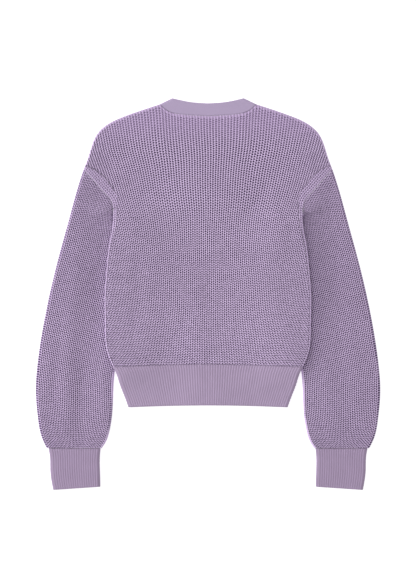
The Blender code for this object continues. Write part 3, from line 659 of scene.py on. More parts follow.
def knit_panel(shape, side, facing, extra, insets, level):
    """Points, triangles and maps of a body panel with knitted stitches.

    `side` mirrors it with -1, and `facing` is the side its outer face looks to. A face
    that looks down rests on its ridges. The inner sheet is smooth and has a quarter of
    the rows.
    """
    wales = np.arange(-WALES_EACH_WAY, WALES_EACH_WAY + 0.1, 1 / COLUMNS_A_WALE)
    reach = shape[0][:, 0].min()
    is_half = reach > 0
    if is_half:
        wales = wales[wales > reach / WIDEST_PITCH]
    x, plan, index = panel_grid(shape, wales, *insets)
    coarse = [part[::PLAIN_STEP] for part in shape[:3]]
    coarse = (*coarse, shape[3] // PLAIN_STEP + 1, *shape[4:])
    low, high = coarse[0][:, :1], coarse[1][:, :1]
    share = np.linspace(0, 1, PLAIN_COLUMNS[int(is_half)])[None, :]
    plain_x = low + insets[0][-1] + share * (high - insets[1][-1] - low - insets[0][-1])
    plain_x = np.concatenate([low, plain_x, high], axis=1)
    plain_plan = panel_points(plain_x, coarse)

    course = np.arange(len(x))[:, None] / ROWS_A_COURSE
    last_course = course[-len(FOLD_INSETS)]
    plain_course = course[::PLAIN_STEP]
    places = []
    for points, number, ends in ((plan, course, shape), (plain_plan, plain_course, coarse)):
        aside, ahead = wobble(points)
        from_side = nearest_fold(points, (armhole_line, side_line[::-1]))[0]
        is_yoke = (np.arange(len(points)) >= ends[3])[:, None]
        below = YOKE_PLAIN[0] - SIDE_PLAIN
        below = SIDE_PLAIN + below * rise(ends[1][:, 1:], *SIDE_PLAIN_GROWS)
        yoke = YOKE_PLAIN[0] + YOKE_PLAIN[1] * np.sin(np.pi * ends[2][:, None])
        past = from_side - np.where(is_yoke, yoke, below)
        from_end = np.minimum(number, last_course - number) * COURSE_PITCH
        wale = np.where(past > 0, wale_number(points) + aside, from_side / EDGE_WALE_PITCH)
        drawn = np.where(is_yoke & (past <= 0), ARMHOLE_COURSES, 1.0)
        places.append(((wale, number * drawn + ahead), (past, from_end)))
    (stitch, seam), (plain_stitch, plain_seam) = places
    relief = stitch_relief(*stitch, stitch_opening(*seam, plan[..., 1]))
    relief = relief - STITCH_HEIGHT * (facing < 0)
    turn = np.array([side, 1.0])
    folds = (TOP_FOLD, SIDE_FOLD)
    plan = plan * turn
    outer, _ = cloth(plan, folds, KNIT_WALL, level, facing, extra(plan), relief)
    plain_plan = plain_plan * turn
    plain_extra = extra(plain_plan, LEAST_CREASE)
    _, inner = cloth(plain_plan, folds, KNIT_WALL, level, facing, plain_extra)
    shares = [(x - shape[0][:, :1]) / (shape[1][:, :1] - shape[0][:, :1])]
    shares.append((plain_x - low) / (high - low))
    points, faces = wall_mesh(outer, inner, index, shares)
    maps = {
        "stitches": all_places(stitch, plain_stitch),
        "seams": all_places(seam, plain_seam),
    }
    return points, faces, maps


def knit_rows(top_inset):
    """Heights of a body panel's rows below the underarm, and shares above it.

    The last rows keep the insets of a folded edge from the panel's top.
    """
    heights = np.linspace(BODY_SIDE[-1][1], BODY_SIDE[0][1], BODY_COURSES * ROWS_A_COURSE + 1)
    fold = np.array(FOLD_INSETS) / top_inset
    ups = np.linspace(0, 1 - fold[-1], YOKE_COURSES * ROWS_A_COURSE + 1)[1:]
    return heights, np.concatenate([ups, 1 - fold[-2::-1]])


def mirrored(line):
    """The line on the garment's left, run the other way."""
    return line[::-1] * (-1.0, 1.0)


right_top = np.concatenate([neck_seam_line[::-1], shoulder_line[::-1][1:]])
back_shape = panel_shape(
    (side_line * (-1.0, 1.0), side_line),
    (armhole_line * (-1.0, 1.0), armhole_line),
    hem_seam_line,
    np.concatenate([mirrored(right_top), right_top[1:]]),
    *knit_rows(NECK_SEAM[-1][1] - ARMHOLE[0][1]),
)
fold_insets = np.array(FOLD_INSETS)
back_points, back_faces, back_maps = knit_panel(
    back_shape, 1.0, 1, back_rise, (fold_insets, fold_insets), back_level
)

FUZZ_SCALE = 2200.0           # waves in a metre
MOTTLE_SCALE = 60.0
MOTTLE_DETAIL = 3.0
UNEVEN_SCALE = 210.0
UNEVENNESS = 1.1              # of the holes' sizes
HOLE_BOUNDS = (0.07, 0.32)    # the rim and the floor of a hole, 1 being its middle
LOW_BODY = (-0.12, 0.03)      # metres: the body is lighter and more open below these
LOW_OPENING = 0.35
LOW_LIGHT = 0.75
YOKE = (0.14, 0.24)           # and has less shaded grooves above these
PLAIN_SHADE = 0.08
FINE_SHADE = 0.22
YOKE_SHADE = 0.1


class Link:
    """One output of a shader node. Arithmetic on it adds Math nodes."""

    def __init__(self, tree, socket=None):
        self.tree = tree
        self.socket = socket

    def node(self, kind, settings=(), values=(), output=0):
        """Adds a node: its settings first, then its inputs by name or number.

        An input's value is a number, a colour or a Link. Returns one output.
        """
        made = self.tree.nodes.new(kind)
        for name, value in dict(settings).items():
            setattr(made, name, value)
        for name, value in dict(values).items():
            if isinstance(value, Link):
                self.tree.links.new(value.socket, made.inputs[name])
            else:
                made.inputs[name].default_value = value
        return Link(self.tree, made.outputs[output])

    def output(self, number):
        """Another output of the same node."""
        return Link(self.tree, self.socket.node.outputs[number])

    def maths(self, operation, *values):
        """A Math node over the values."""
        return self.node("ShaderNodeMath", {"operation": operation}, enumerate(values))

    def then(self, operation, *values):
        """A Math node over this output and the values."""
        return self.maths(operation, self, *values)

    def __add__(self, other):
        return self.maths("ADD", self, other)

    __radd__ = __add__

    def __mul__(self, other):
        return self.maths("MULTIPLY", self, other)

    __rmul__ = __mul__

    def __sub__(self, other):
        return self.maths("SUBTRACT", self, other)

    def __rsub__(self, other):
        return self.maths("SUBTRACT", other, self)

    def rise(self, none, full):
        """0 up to `none`, 1 from `full` on, and a smooth S between them."""
        values = {"Value": self, "From Min": none, "From Max": full}
        return self.node("ShaderNodeMapRange", {"interpolation_type": "SMOOTHSTEP"}, values)

    def ridge(self, turns=1.0):
        """0 at whole turns and 1 halfway between them: half of 1 - cosine."""
        return 0.5 - 0.5 * (self * (2 * math.pi * turns)).then("COSINE")

    def mix(self, first, second):
        """The first colour at 0 and the second at 1."""
        values = {0: self, 6: first, 7: second}
        return self.node("ShaderNodeMix", {"data_type": "RGBA"}, values, output=2)


def srgb(red, green, blue):
    """Linear colour of an 8-bit one."""
    return tuple(((c / 255 + 0.055) / 1.055) ** 2.4 for c in (red, green, blue)) + (1.0,)


def shades(colour, factor):
    """A colour made darker or lighter."""
    return tuple(c * factor for c in colour[:3]) + (1.0,)


def cloth_material(name):
    """A material with a woollen sheen, its shader, and a Link to add nodes by."""
    made = bpy.data.materials.new(name)
    made.use_nodes = True
    shader = made.node_tree.nodes["Principled BSDF"]
    shader.inputs["Roughness"].default_value = 0.85
    shader.inputs["Specular IOR Level"].default_value = 0.25
    shader.inputs["Sheen Weight"].default_value = 0.12
    shader.inputs["Sheen Roughness"].default_value = 0.6
    return made, shader, Link(made.node_tree)


def finish_cloth(shader, start, colour, height):
    """Gives a shader its colour and its bump, whose height is in millimetres."""
    values = {"Strength": 1.0, "Distance": MM, "Height": height}
    bump = start.node("ShaderNodeBump", {}, values)
    start.tree.links.new(colour.socket, shader.inputs["Base Color"])
    start.tree.links.new(bump.socket, shader.inputs["Normal"])


def map_numbers(start, name):
    """Both numbers of a UV map."""
    place = start.node("ShaderNodeUVMap", {"uv_map": name})
    first = start.node("ShaderNodeSeparateXYZ", {}, {0: place})
    return first, first.output(1)


def noise(start, scale, detail=2.0):
    """Noise about 0 to 1, with `scale` waves in a metre."""
    place = start.node("ShaderNodeTexCoord", output="Object")
    values = {"Vector": place, "Scale": scale, "Detail": detail}
    return start.node("ShaderNodeTexNoise", {}, values)


def fibres(start, mottled=0.35, fuzzy=0.5):
    """Tone of dyed yarn, about 0.5: its mottling and its fuzz, and the fuzz alone."""
    fuzz = noise(start, FUZZ_SCALE)
    mottle = noise(start, MOTTLE_SCALE, MOTTLE_DETAIL)
    return (mottle - 0.5) * mottled + 0.5 + (fuzz - 0.5) * fuzzy, fuzz


def knit_material(name, yarn):
    """Half-cardigan knit, patterned on wale and course numbers as stitch_relief is.

    The colours' factors are shares of 1, and those of the height are millimetres.
    """
    made, shader, start = cloth_material(name)
    wale, course = map_numbers(start, "stitches")
    from_side, from_end = map_numbers(start, "seams")
    ridge = wale.ridge()
    lean = ((wale + 1.0).then("FLOORED_MODULO", 2.0) - 1.0).then("ABSOLUTE")
    strand_place = course - 0.5 * lean
    strand = (strand_place * math.pi).then("SINE").then("ABSOLUTE")
    place = start.node("ShaderNodeTexCoord", output="Object")
    up = start.node("ShaderNodeSeparateXYZ", {}, {0: place}, output=1)
    high = up.rise(FINE_TOP[0] * MM, FINE_TOP[1] * MM)
    low = 1.0 - up.rise(*LOW_BODY)
    yoke = up.rise(*YOKE)
    inside = from_side.rise(*PLAIN_EDGE)
    opening = (inside * (1.0 - PLAIN_OPENING) + PLAIN_OPENING) * from_end.rise(*PLAIN_END)
    opening = opening * (1.0 - high * (1.0 - FINE_OPENING)) * (low * LOW_OPENING + 1.0)
    open_share = (noise(start, UNEVEN_SCALE, 1.0) - 0.5) * UNEVENNESS + 1.0
    hole = ((1.0 - ridge) * (1.0 - strand) * open_share).rise(*HOLE_BOUNDS) * opening
    groove = (1.0 - ridge).rise(0.5, 1.0) * 0.4 + (1.0 - strand).rise(0.55, 1.0) * 0.4
    plain = (1.0 - inside) * PLAIN_SHADE + high * FINE_SHADE + yoke * YOKE_SHADE
    ply = 1.0 - (strand_place * 4.0 + wale * 3.0).ridge()
    tone, fuzz = fibres(start)
    colour = (tone + low * LOW_LIGHT).mix(shades(yarn, 0.9), shades(yarn, 1.1))
    # Painted shade: the grooves and the plain, closed-up and yoke parts are mixed towards the
    # shaded yarn, and the holes towards a dark colour that stands for the shade inside them.
    colour = (groove * (0.7 - yoke * 0.35)).mix(colour, SHADED_YARN)
    colour = plain.mix(colour, SHADED_YARN)
    colour = hole.mix(colour, HOLE_SHADE_COLOUR)
    height = ridge * 0.25 + strand * ridge * 0.35 + ply * 0.06 + fuzz * 0.12 - hole * 0.7
    finish_cloth(shader, start, colour, height)
    return made


YARN = srgb(215, 193, 228)
SHADED_YARN = srgb(148, 117, 169)
# Painted shade: the dark colour of the holes stands for the shade inside them.
HOLE_SHADE_COLOUR = srgb(54, 30, 76)
back_finish = knit_material("back knit", YARN)
back = add_piece("back_panel", back_points, back_faces, back_maps, back_finish)
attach(back, "root")
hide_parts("back")

# ------------------------------------------------------------------ hem of the back
# The hem band is knitted in fine 1x1 rib and linked on below the back. Its ribs run
# down and draw in together, and its lower edge is a plain cast-on.

RIB_WALL = 2.5
HEM_RIBS = 70
HEM_COURSES = 26
COLUMNS_A_RIB = 6
RIB_HEIGHT = 0.5
CAST_ON_HEIGHT = 0.4          # share of it left at the cast-on edge
HEM_GAP = 0.005               # share of the band's height before its first row
HEM_PLAIN_STEP = 2
HEM_PLAIN_COLUMNS = 49
# Painted shade: the body's yarn made darker for the deeper shade in the rib.
SHADED_HEM_YARN = srgb(178, 158, 188)
HEM_EDGE = ((-147.1, -209.2), (-75.0, -206.6), (0.0, -205.5), (75.0, -206.6), (147.1, -209.2))
hem_edge_line = smooth(HEM_EDGE)


def hem_points(start, x_share, downs):
    """Plan points of the hem band between `start` and the side, at shares of both."""
    corner = along(hem_side_line, downs)
    first = -corner[:, :1] if start is None else np.full((len(downs), 1), start)
    x = first + x_share * (corner[:, :1] - first)
    down = np.asarray(downs)[:, None]
    seam = height_over(hem_seam_line, x * HEM_SEAM[-1][0] / corner[:, :1])
    edge = height_over(hem_edge_line, x * HEM_EDGE[-1][0] / corner[:, :1])
    drawn = corner[:, 1:] - (1 - down) * HEM_SEAM[-1][1] - down * HEM_EDGE[-1][1]
    return np.stack([x, (1 - down) * seam + down * edge + drawn], axis=-1)


def rib_band(start, ribs, facing, side, extra, level):
    """Points, triangles and maps of a flat rib band, its ribs half-cosine ridges.

    It reaches from `start` to the side, or from side to side where that is None.
    """
    is_whole = start is None
    downs = np.linspace(HEM_GAP, 1.0, HEM_COURSES + 1)
    number = np.linspace(0, ribs, ribs * COLUMNS_A_RIB + 1)
    width = along(hem_side_line, downs)[:, :1] * (1 + is_whole) - (start or 0)
    fold = fold_insets[None, :-1] / width
    last = HALF_THICK / width
    first = is_whole * last
    share = first + number / ribs * (1 - last - first)
    if is_whole:
        share = np.concatenate([fold, share], axis=1)
        number = np.concatenate([0 * fold[0], number])
    share = np.concatenate([share, 1 - fold[:, ::-1]], axis=1)
    number = np.concatenate([number, ribs + 0 * fold[0]])
    plan = hem_points(start, share, downs) * (side, 1.0)
    relief = RIB_HEIGHT * ridges(number)[None, :] * np.ones((len(downs), 1))
    relief[-1] *= CAST_ON_HEIGHT
    relief -= RIB_HEIGHT * (facing < 0)
    outer, _ = cloth(plan, (SIDE_FOLD,), RIB_WALL, level, facing, extra(plan), relief)
    plain_downs = downs[::HEM_PLAIN_STEP]
    plain_share = np.linspace(0, 1, HEM_PLAIN_COLUMNS) + np.zeros((len(plain_downs), 1))
    plan = hem_points(start, plain_share, plain_downs) * (side, 1.0)
    plain_extra = extra(plan, LEAST_CREASE)
    _, inner = cloth(plan, (SIDE_FOLD,), RIB_WALL, level, facing, plain_extra)
    points, faces = wall_mesh(outer, inner, None, [share, plain_share])
    course = np.arange(len(downs))[:, None] + 0.0
    plain_places = (plain_share * ribs, course[::HEM_PLAIN_STEP])
    return points, faces, {"stitches": all_places((number[None, :], course), plain_places)}


def v_stitches(start, slant):
    """Rib and course numbers, ridges between whole ribs, and V stitches on them."""
    rib, course = map_numbers(start, "stitches")
    aside = (rib.then("FRACT") - 0.5).then("ABSOLUTE")
    loops = 1.0 - (course - aside * slant).ridge()
    return rib, course, rib.ridge(), loops


def rib_material(name, yarn):
    """1x1 rib, with painted shade in the furrows between its ribs and a dark link at every other
    one.
    """
    made, shader, start = cloth_material(name)
    rib, course, ridge, loops = v_stitches(start, 1.6)
    furrow_shade = (1.0 - ridge).rise(0.45, 1.0) * (noise(start, 45.0) * 2.4 - 0.2)
    link = (1.0 - course.rise(0.3, 0.9)) * rib.ridge(0.5)
    tone, fuzz = fibres(start)
    colour = tone.mix(shades(yarn, 0.92), shades(yarn, 1.08))
    # Painted shade in the furrows between the ribs.
    colour = (furrow_shade * 0.34).mix(colour, shades(yarn, 0.6))
    colour = (link * 0.22).mix(colour, shades(yarn, 0.5))
    height = ridge * 0.08 + loops * ridge * 0.15 + fuzz * 0.12
    finish_cloth(shader, start, colour, height)
    return made


hem_back = add_piece(
    "hem_back_band",
    *rib_band(None, HEM_RIBS, 1, 1.0, back_rise, back_level),
    rib_material("hem back rib", SHADED_HEM_YARN),
)
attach(hem_back, "root")
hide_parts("hem_back")

# ------------------------------------------------------------------ fronts
# The two front panels lie under the back with their outsides on the table. They are
# the same half-cardigan knit, cut away along the V of the neck.

BAND_HALF_WIDTH = 14.0
FRONT_RAMP = (45.0, 15.0)
FRONT_RISE_FADES = (258.0, 198.0)
LEFT_RISE = 3.8               # of the left front: its band lies on the right one's
RIGHT_RISE = 2.0
HALF_INSETS = (0.0, 1.5)      # of the columns along a front's middle edge
FRONT_NECK_SEAM = ((89.7, 350.4), (81.0, 310.0), (55.0, 240.0), (14.3, 165.3))
front_neck_line = smooth(FRONT_NECK_SEAM)[::-1]
front_neck_line[0] = BAND_HALF_WIDTH + SEAM_GAP, BODY_SIDE[0][1]


def front_rise(height):
    """How far a front comes up to its band, as a function of plan points."""

    def of_points(plan, least=0.0):
        """The height times one S across the front and one up it, never below 0; `least` is not
        used.
        """
        fade = rise(plan[..., 1], *FRONT_RISE_FADES)
        return height * rise(np.abs(plan[..., 0]), *FRONT_RAMP) * fade

    return of_points


front_start = BAND_HALF_WIDTH + SEAM_GAP
front_centre_line = np.array([(front_start, BODY_SIDE[-1][1]), (front_start, BODY_SIDE[0][1])])
front_bottom = hem_seam_line[hem_seam_line[:, 0] > front_start]
front_first = (front_start, height_over(hem_seam_line, front_start))
front_shape = panel_shape(
    (front_centre_line, side_line),
    (front_neck_line, armhole_line),
    np.concatenate([[front_first], front_bottom]),
    shoulder_line[::-1],
    *knit_rows(NECK_SEAM[0][1] - ARMHOLE[0][1]),
)
front_insets = (np.array(HALF_INSETS), fold_insets)
for name, side, height in (("front_left", -1.0, LEFT_RISE), ("front_right", 1.0, RIGHT_RISE)):
    front = add_piece(
        f"{name}_panel",
        *knit_panel(front_shape, side, -1, front_rise(height), front_insets, body_level),
        knit_material(f"{name} knit", YARN),
    )
    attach(front, "root")
    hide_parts(name)

# ------------------------------------------------------------------ hems of the fronts
# The hem band goes on under both fronts in the same 1x1 rib, with its outside on the
# table. It is linked to each front and left open between them.

FRONT_RIBS = 30
fronts = (("hem_front_left", -1.0, LEFT_RISE), ("hem_front_right", 1.0, RIGHT_RISE))
for name, side, height in fronts:
    hem_front = add_piece(
        f"{name}_band",
        *rib_band(front_start, FRONT_RIBS, -1, side, front_rise(height), body_level),
        rib_material(f"{name} rib", SHADED_HEM_YARN),
    )
    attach(hem_front, "root")
    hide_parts(name)

# ------------------------------------------------------------------ sleeves
# Each balloon sleeve is one panel of the same knit, folded along the arm and sewn
# under it. Its wales run along the outer fold, and the wide part is gathered slightly
# into the cuff.

SLEEVE_DROPS = (143.0, 157.0)
SLEEVE_CORNER = (225.0, 185.0)
SLEEVE_LENGTH = 530.0
SLEEVE_SEAM_GAP = 0.5
SLEEVE_WALE_PITCH = 3.68
# Painted shade: the body's yarn made darker for the shade on the sleeves.
SHADED_SLEEVE_YARN = srgb(205, 183, 218)
SLEEVE_COURSES = 120
SEAM_BEND = 0.12
TUBE_PLAIN_COLUMNS = 33       # of a tube's inner sheets
FULL_RELIEF_WIDTH = 125.0     # a narrower tube's stitches are lower in proportion
ROUND_OFF = 1e-6
SLEEVE_LEAST_CREASE = -1.8    # of a tube's inner face
SLEEVE_PLAIN = 2.0            # plain width along the inner edge
OUTER_CLOSING = 0.25          # the holes close up slowly towards the outer fold

sleeve_start = SLEEVE_SEAM_GAP / SLEEVE_LENGTH
sleeve_edge = along(sleeve_outer_line, np.linspace(sleeve_start, 1, len(sleeve_outer_line)))
sleeve_edges = (sleeve_edge, sleeve_inner_line)


def sleeve_level(plan):
    """Height of the plane between a sleeve's layers: up only at the underarm."""
    x = np.abs(plan[..., 0])
    y = plan[..., 1]
    corner = rise(y, *SIDE_RISE_ENDS) * rise(y, *SLEEVE_DROPS) * rise(x, *SLEEVE_CORNER)
    return HALF_THICK + SIDE_RISE * corner


def tube_points(edges, top, share, rows):
    """Plan points of a flattened tube at shares of the way between its two edges.

    Each row is straight, but the first follows the top seam, and that bend is gone
    after SEAM_BEND of the tube's length.
    """
    first = along(edges[0], rows)[:, None]
    last = along(edges[1], rows)[:, None]
    straight = first + share[..., None] * (last - first)
    ends = top[0] + share[..., None] * (top[-1] - top[0])
    fade = np.clip(1 - rows / SEAM_BEND, 0.0, 1.0)[:, None, None] ** 2
    return straight + fade * (along(top, share) - ends)


def tube_width(edges, rows):
    """Distance between a tube's two edges at each row."""
    return np.linalg.norm(along(edges[1], rows) - along(edges[0], rows), axis=1)


def ring(upper, lower):
    """The upper layer's columns, then the lower one's back to the first edge."""
    return np.concatenate([upper, lower[:, -2:0:-1]], axis=1)


def knit_tube(edges, top, rows, wales, columns_a_wale, settings):
    """Points, triangles and maps of a flattened knitted tube.

    `wales` is each row's number of wales, from its outer to its inner edge, and the
    columns run along them. Columns beyond the last wale are joined into one point.
    Both layers count the wales from the outer edge.
    """
    side, folds, wall, level, extra, relief, wavy = settings
    most = math.ceil(wales.max() - ROUND_OFF)
    number = np.arange(0, most + 0.01, 1 / columns_a_wale)[None, :]
    width = tube_width(edges, rows)[:, None]
    fold = fold_insets[None, :-1] / width
    inset = HALF_THICK / width
    share = inset + np.minimum(number / wales[:, None], 1.0) * (1 - 2 * inset)
    share = np.concatenate([fold, share, 1 - fold[:, ::-1]], axis=1)
    before = fold.shape[1]
    column = np.arange(share.shape[1])[None, :] + np.zeros((len(rows), 1), int)
    most_column = before + np.ceil(wales * columns_a_wale - ROUND_OFF).astype(int)[:, None]
    is_wale = (column >= before) & (column < before + number.shape[1])
    column = np.where(is_wale, np.minimum(column, most_column), column)
    wale = np.clip((share - inset) / (1 - 2 * inset), 0.0, 1.0) * wales[:, None]
    course = np.arange(len(rows))[:, None] / ROWS_A_COURSE
    from_end = np.minimum(course, course[-1] - course) * COURSE_PITCH
    plan = tube_points(edges, top, share, rows) * (side, 1.0)
    if wavy:
        aside, ahead = wobble(plan)
        wale, course = wale + aside, course + ahead
    raised = relief(wale, course) * np.minimum(1.0, width / FULL_RELIEF_WIDTH)
    lowered = raised - raised.max()
    layers = [cloth(plan, folds, wall, level, 1, extra(plan), raised, least=0.0)[0]]
    layers.append(cloth(plan, folds, wall, level, -1, 0.0, lowered, least=0.0)[0])

    plain_rows = rows[::PLAIN_STEP]
    plain_share = np.linspace(0, 1, TUBE_PLAIN_COLUMNS) + np.zeros((len(plain_rows), 1))
    plan = tube_points(edges, top, plain_share, plain_rows) * (side, 1.0)
    plain_extra = extra(plan, SLEEVE_LEAST_CREASE)
    inners = [cloth(plan, folds, wall, level, 1, plain_extra, least=0.0)[1]]
    inners.append(cloth(plan, folds, wall, level, -1, least=0.0)[1])

    columns = share.shape[1]
    index = ring(column, np.where(column > 0, 2 * columns - 2 - column, 0))
    index = index + np.arange(len(rows))[:, None] * (2 * columns - 2)
    shares = [ring(s / 2, 1 - s / 2) for s in (share, plain_share)]
    shares = [np.concatenate([s, 1 + 0 * s[:, :1]], axis=1) for s in shares]
    points, faces = wall_mesh(ring(*layers), ring(*inners), index, shares, closed=True)
    stitches = []
    seams = []
    for part, wide, numbers, length, ends in (
        (share, width, wale, course + 0 * wale, from_end),
        (
            plain_share,
            width[::PLAIN_STEP],
            plain_share * wales[::PLAIN_STEP, None],
            course[::PLAIN_STEP, :1] + 0 * plain_share,
            from_end[::PLAIN_STEP],
        ),
    ):
        from_side = np.minimum((1 - part) * wide - SLEEVE_PLAIN, part * wide * OUTER_CLOSING)
        stitches.append((ring(numbers, numbers), ring(length, length)))
        seams.append((ring(from_side, from_side), ends))
    return points, faces, {"stitches": all_places(*stitches), "seams": all_places(*seams)}


def sleeve_relief(wale, course):
    """Stitch relief that fades towards both seams."""
    number = np.arange(len(course))[:, None] / ROWS_A_COURSE
    from_end = np.minimum(number, number[-1] - number) * COURSE_PITCH
    return stitch_relief(wale, course, rise(from_end, *PLAIN_END))


sleeve_rows = np.linspace(0, 1, SLEEVE_COURSES * ROWS_A_COURSE + 1)
sleeve_width = tube_width(sleeve_edges, sleeve_rows)
sleeve_wales = np.maximum.accumulate(sleeve_width) / SLEEVE_WALE_PITCH
for wearer, side in (("left", -1.0), ("right", 1.0)):
    folds = (TOP_FOLD, INNER_FOLD)
    looks = (side, folds, KNIT_WALL, sleeve_level, crease_height, sleeve_relief, True)
    settings = (COLUMNS_A_WALE, looks)
    sleeve = add_piece(
        f"sleeve_{wearer}_tube",
        *knit_tube(sleeve_edges, armhole_line[::-1], sleeve_rows, sleeve_wales, *settings),
        knit_material(f"sleeve {wearer} knit", SHADED_SLEEVE_YARN),
    )
    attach(sleeve, "root")
    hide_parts(f"sleeve_{wearer}")

# ------------------------------------------------------------------ cuffs
# The cuffs are flattened tubes of the same 1x1 rib, drawn in where the sleeves are
# linked on, and end in a plain cast-on.

CUFF_OUTER = ((294.6, -285.3), (292.2, -300.0), (291.4, -326.0), (286.2, -361.7))
CUFF_INNER = ((198.4, -285.3), (199.8, -300.0), (199.5, -330.0), (198.9, -355.8))
CUFF_RIBS = 20
# Painted shade: the body's yarn made darker for the deeper shade in the rib.
SHADED_CUFF_YARN = srgb(170, 150, 180)
CUFF_COURSES = 28
cuff_outer_line = smooth(CUFF_OUTER)
cuff_inner_line = smooth(CUFF_INNER)


def flat_level(plan):
    """Height of the plane between two layers that lie on the table."""
    return np.full(plan.shape[:-1], HALF_THICK)


def no_rise(plan, least=0.0):
    """No creases: 0 at every point."""
    return np.zeros(plan.shape[:-1])


def rib_relief(rib, course):
    """Half-cosine ribs, lower at the cast-on edge and the seam."""
    from_end = np.minimum(course, course[-1] - course)
    share = CAST_ON_HEIGHT + (1 - CAST_ON_HEIGHT) * rise(from_end, 0, 1)
    return RIB_HEIGHT * ridges(rib) * share


cuff_rows = np.linspace(0, 1, CUFF_COURSES * ROWS_A_COURSE + 1)
cuff_wales = np.full(len(cuff_rows), float(CUFF_RIBS))
cuff_edges = (cuff_outer_line, cuff_inner_line)
cuff_top = np.array([cuff_outer_line[0], cuff_inner_line[0]])
cuff_folds = (cuff_outer_line, cuff_inner_line[::-1])
for wearer, side in (("left", -1.0), ("right", 1.0)):
    looks = (side, cuff_folds, RIB_WALL, flat_level, no_rise, rib_relief, False)
    cuff = add_piece(
        f"cuff_{wearer}_tube",
        *knit_tube(cuff_edges, cuff_top, cuff_rows, cuff_wales, COLUMNS_A_RIB, looks),
        rib_material(f"cuff {wearer} rib", SHADED_CUFF_YARN),
    )
    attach(cuff, "root")
    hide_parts(f"cuff_{wearer}")

# ------------------------------------------------------------------ neckband
# A smooth fine-knit band runs round the back of the neck and down both front edges of
# the V. It folds over at both sides of the neck.

BAND_WALL = 2.0
NECK_SEAM_GAP = 0.5
BAND_EDGE_SOFTNESS = 0.5
FRONT_NECK_EDGE = ((66.6, 361.7), (58.0, 312.0), (31.5, 243.0), (-12.0, 165.3))
LEG_COLUMNS = 120
NAPE_COLUMNS = 60
COLUMN_BUNCHING = 1.3         # columns stand closer where the band folds over
BAND_MARGIN = (0.0, 0.01, 0.03)  # shares of the band's width from its edges
BAND_MIDDLE = (0.07, 0.93, 21)  # first and last share between those, and how many
BAND_WALE_PITCH = 1.5
BAND_COURSE_PITCH = 2.2
# Painted shade: the body's yarn made darker for the shade in the bands' knit.
SHADED_BAND_YARN = srgb(186, 168, 200)
BUTTONHOLE_BAND_RISE = 2.5    # of its underside, and of the neckband's right leg
BUTTON_BAND_RISE = 4.8        # and the same for the left one


def bunched(line, columns):
    """Points along a line at the shares (step / columns) ** COLUMN_BUNCHING."""
    return along(line, np.linspace(0, 1, columns + 1) ** COLUMN_BUNCHING)


def neckband_parts():
    """Seam and edge points of the band's columns, and the side that each faces."""
    leg_lines = (smooth(FRONT_NECK_SEAM), smooth(FRONT_NECK_EDGE))
    nape_lines = (neck_seam_line, smooth(NECK_EDGE))
    legs = np.stack([bunched(line, LEG_COLUMNS) for line in leg_lines])
    nape = np.stack([bunched(line, NAPE_COLUMNS) for line in nape_lines])
    half = np.concatenate([legs[:, :0:-1], nape], axis=1)
    whole = np.concatenate([half, half[:, -2::-1] * (-1.0, 1.0)], axis=1)
    side = np.ones(whole.shape[1])
    side[:LEG_COLUMNS] = -1
    side[-LEG_COLUMNS:] = -1
    return whole[0], whole[1], side


band_seam, band_edge, band_side = neckband_parts()
band_width = np.linalg.norm(band_edge - band_seam, axis=1)
band_margin = np.array(BAND_MARGIN)
band_steps = np.concatenate([band_margin, np.linspace(*BAND_MIDDLE), 1 - band_margin[::-1]])
band_start = NECK_SEAM_GAP / band_width
band_share = band_start + band_steps[:, None] * (1 - band_start)
band_plan = band_seam + band_share[..., None] * (band_edge - band_seam)
band_rise = np.zeros(band_plan.shape[:-1])
for leg, height in (
    (slice(None, LEG_COLUMNS), BUTTONHOLE_BAND_RISE),
    (slice(-LEG_COLUMNS, None), BUTTON_BAND_RISE),
):
    band_rise[:, leg] = front_rise(height)(band_plan[:, leg])
band_outer, band_inner = cloth(
    band_plan, (TOP_FOLD,), BAND_WALL, flat_level, band_side, band_rise, least=0.0
)
softened = np.clip(1 - (1 - band_steps) / BAND_MARGIN[-1], 0, 1) ** 2
softened *= BAND_EDGE_SOFTNESS
band_outer[..., 2] -= band_side * softened[:, None]
band_inner[..., 2] += band_side * softened[:, None]
band_points, band_faces = wall_mesh(band_outer, band_inner)
band_length = lengths((band_seam + band_edge) / 2)[None, :]
band_map = (band_steps[:, None] * band_width / BAND_WALE_PITCH, band_length / BAND_COURSE_PITCH)


def fine_material(name, yarn, seam=0.0):
    """Smooth fine knit: faint wales along the band, small V stitches, a dark seam."""
    made, shader, start = cloth_material(name)
    wale, course, ridge, loops = v_stitches(start, 1.2)
    tone, fuzz = fibres(start, 0.3, 0.3)
    # Painted light and shade: the ridges of the wales are painted lighter and the grooves
    # between them darker.
    colour = (tone + (ridge - 0.5) * 0.15).mix(shades(yarn, 0.92), shades(yarn, 1.08))
    colour = ((1.0 - wale.rise(0.4, 1.2)) * seam).mix(colour, shades(yarn, 0.5))
    height = ridge * 0.12 + loops * ridge * 0.12 + fuzz * 0.08
    finish_cloth(shader, start, colour, height)
    return made


neckband = add_piece(
    "neckband_strip",
    band_points,
    band_faces,
    {"stitches": all_places(band_map, band_map)},
    fine_material("neckband knit", SHADED_BAND_YARN, 0.5),
)
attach(neckband, "root")
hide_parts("neckband")

# ------------------------------------------------------------------ front bands
# Two straight bands of the same fine knit run down the front edges, the buttonhole
# band outside the button band.

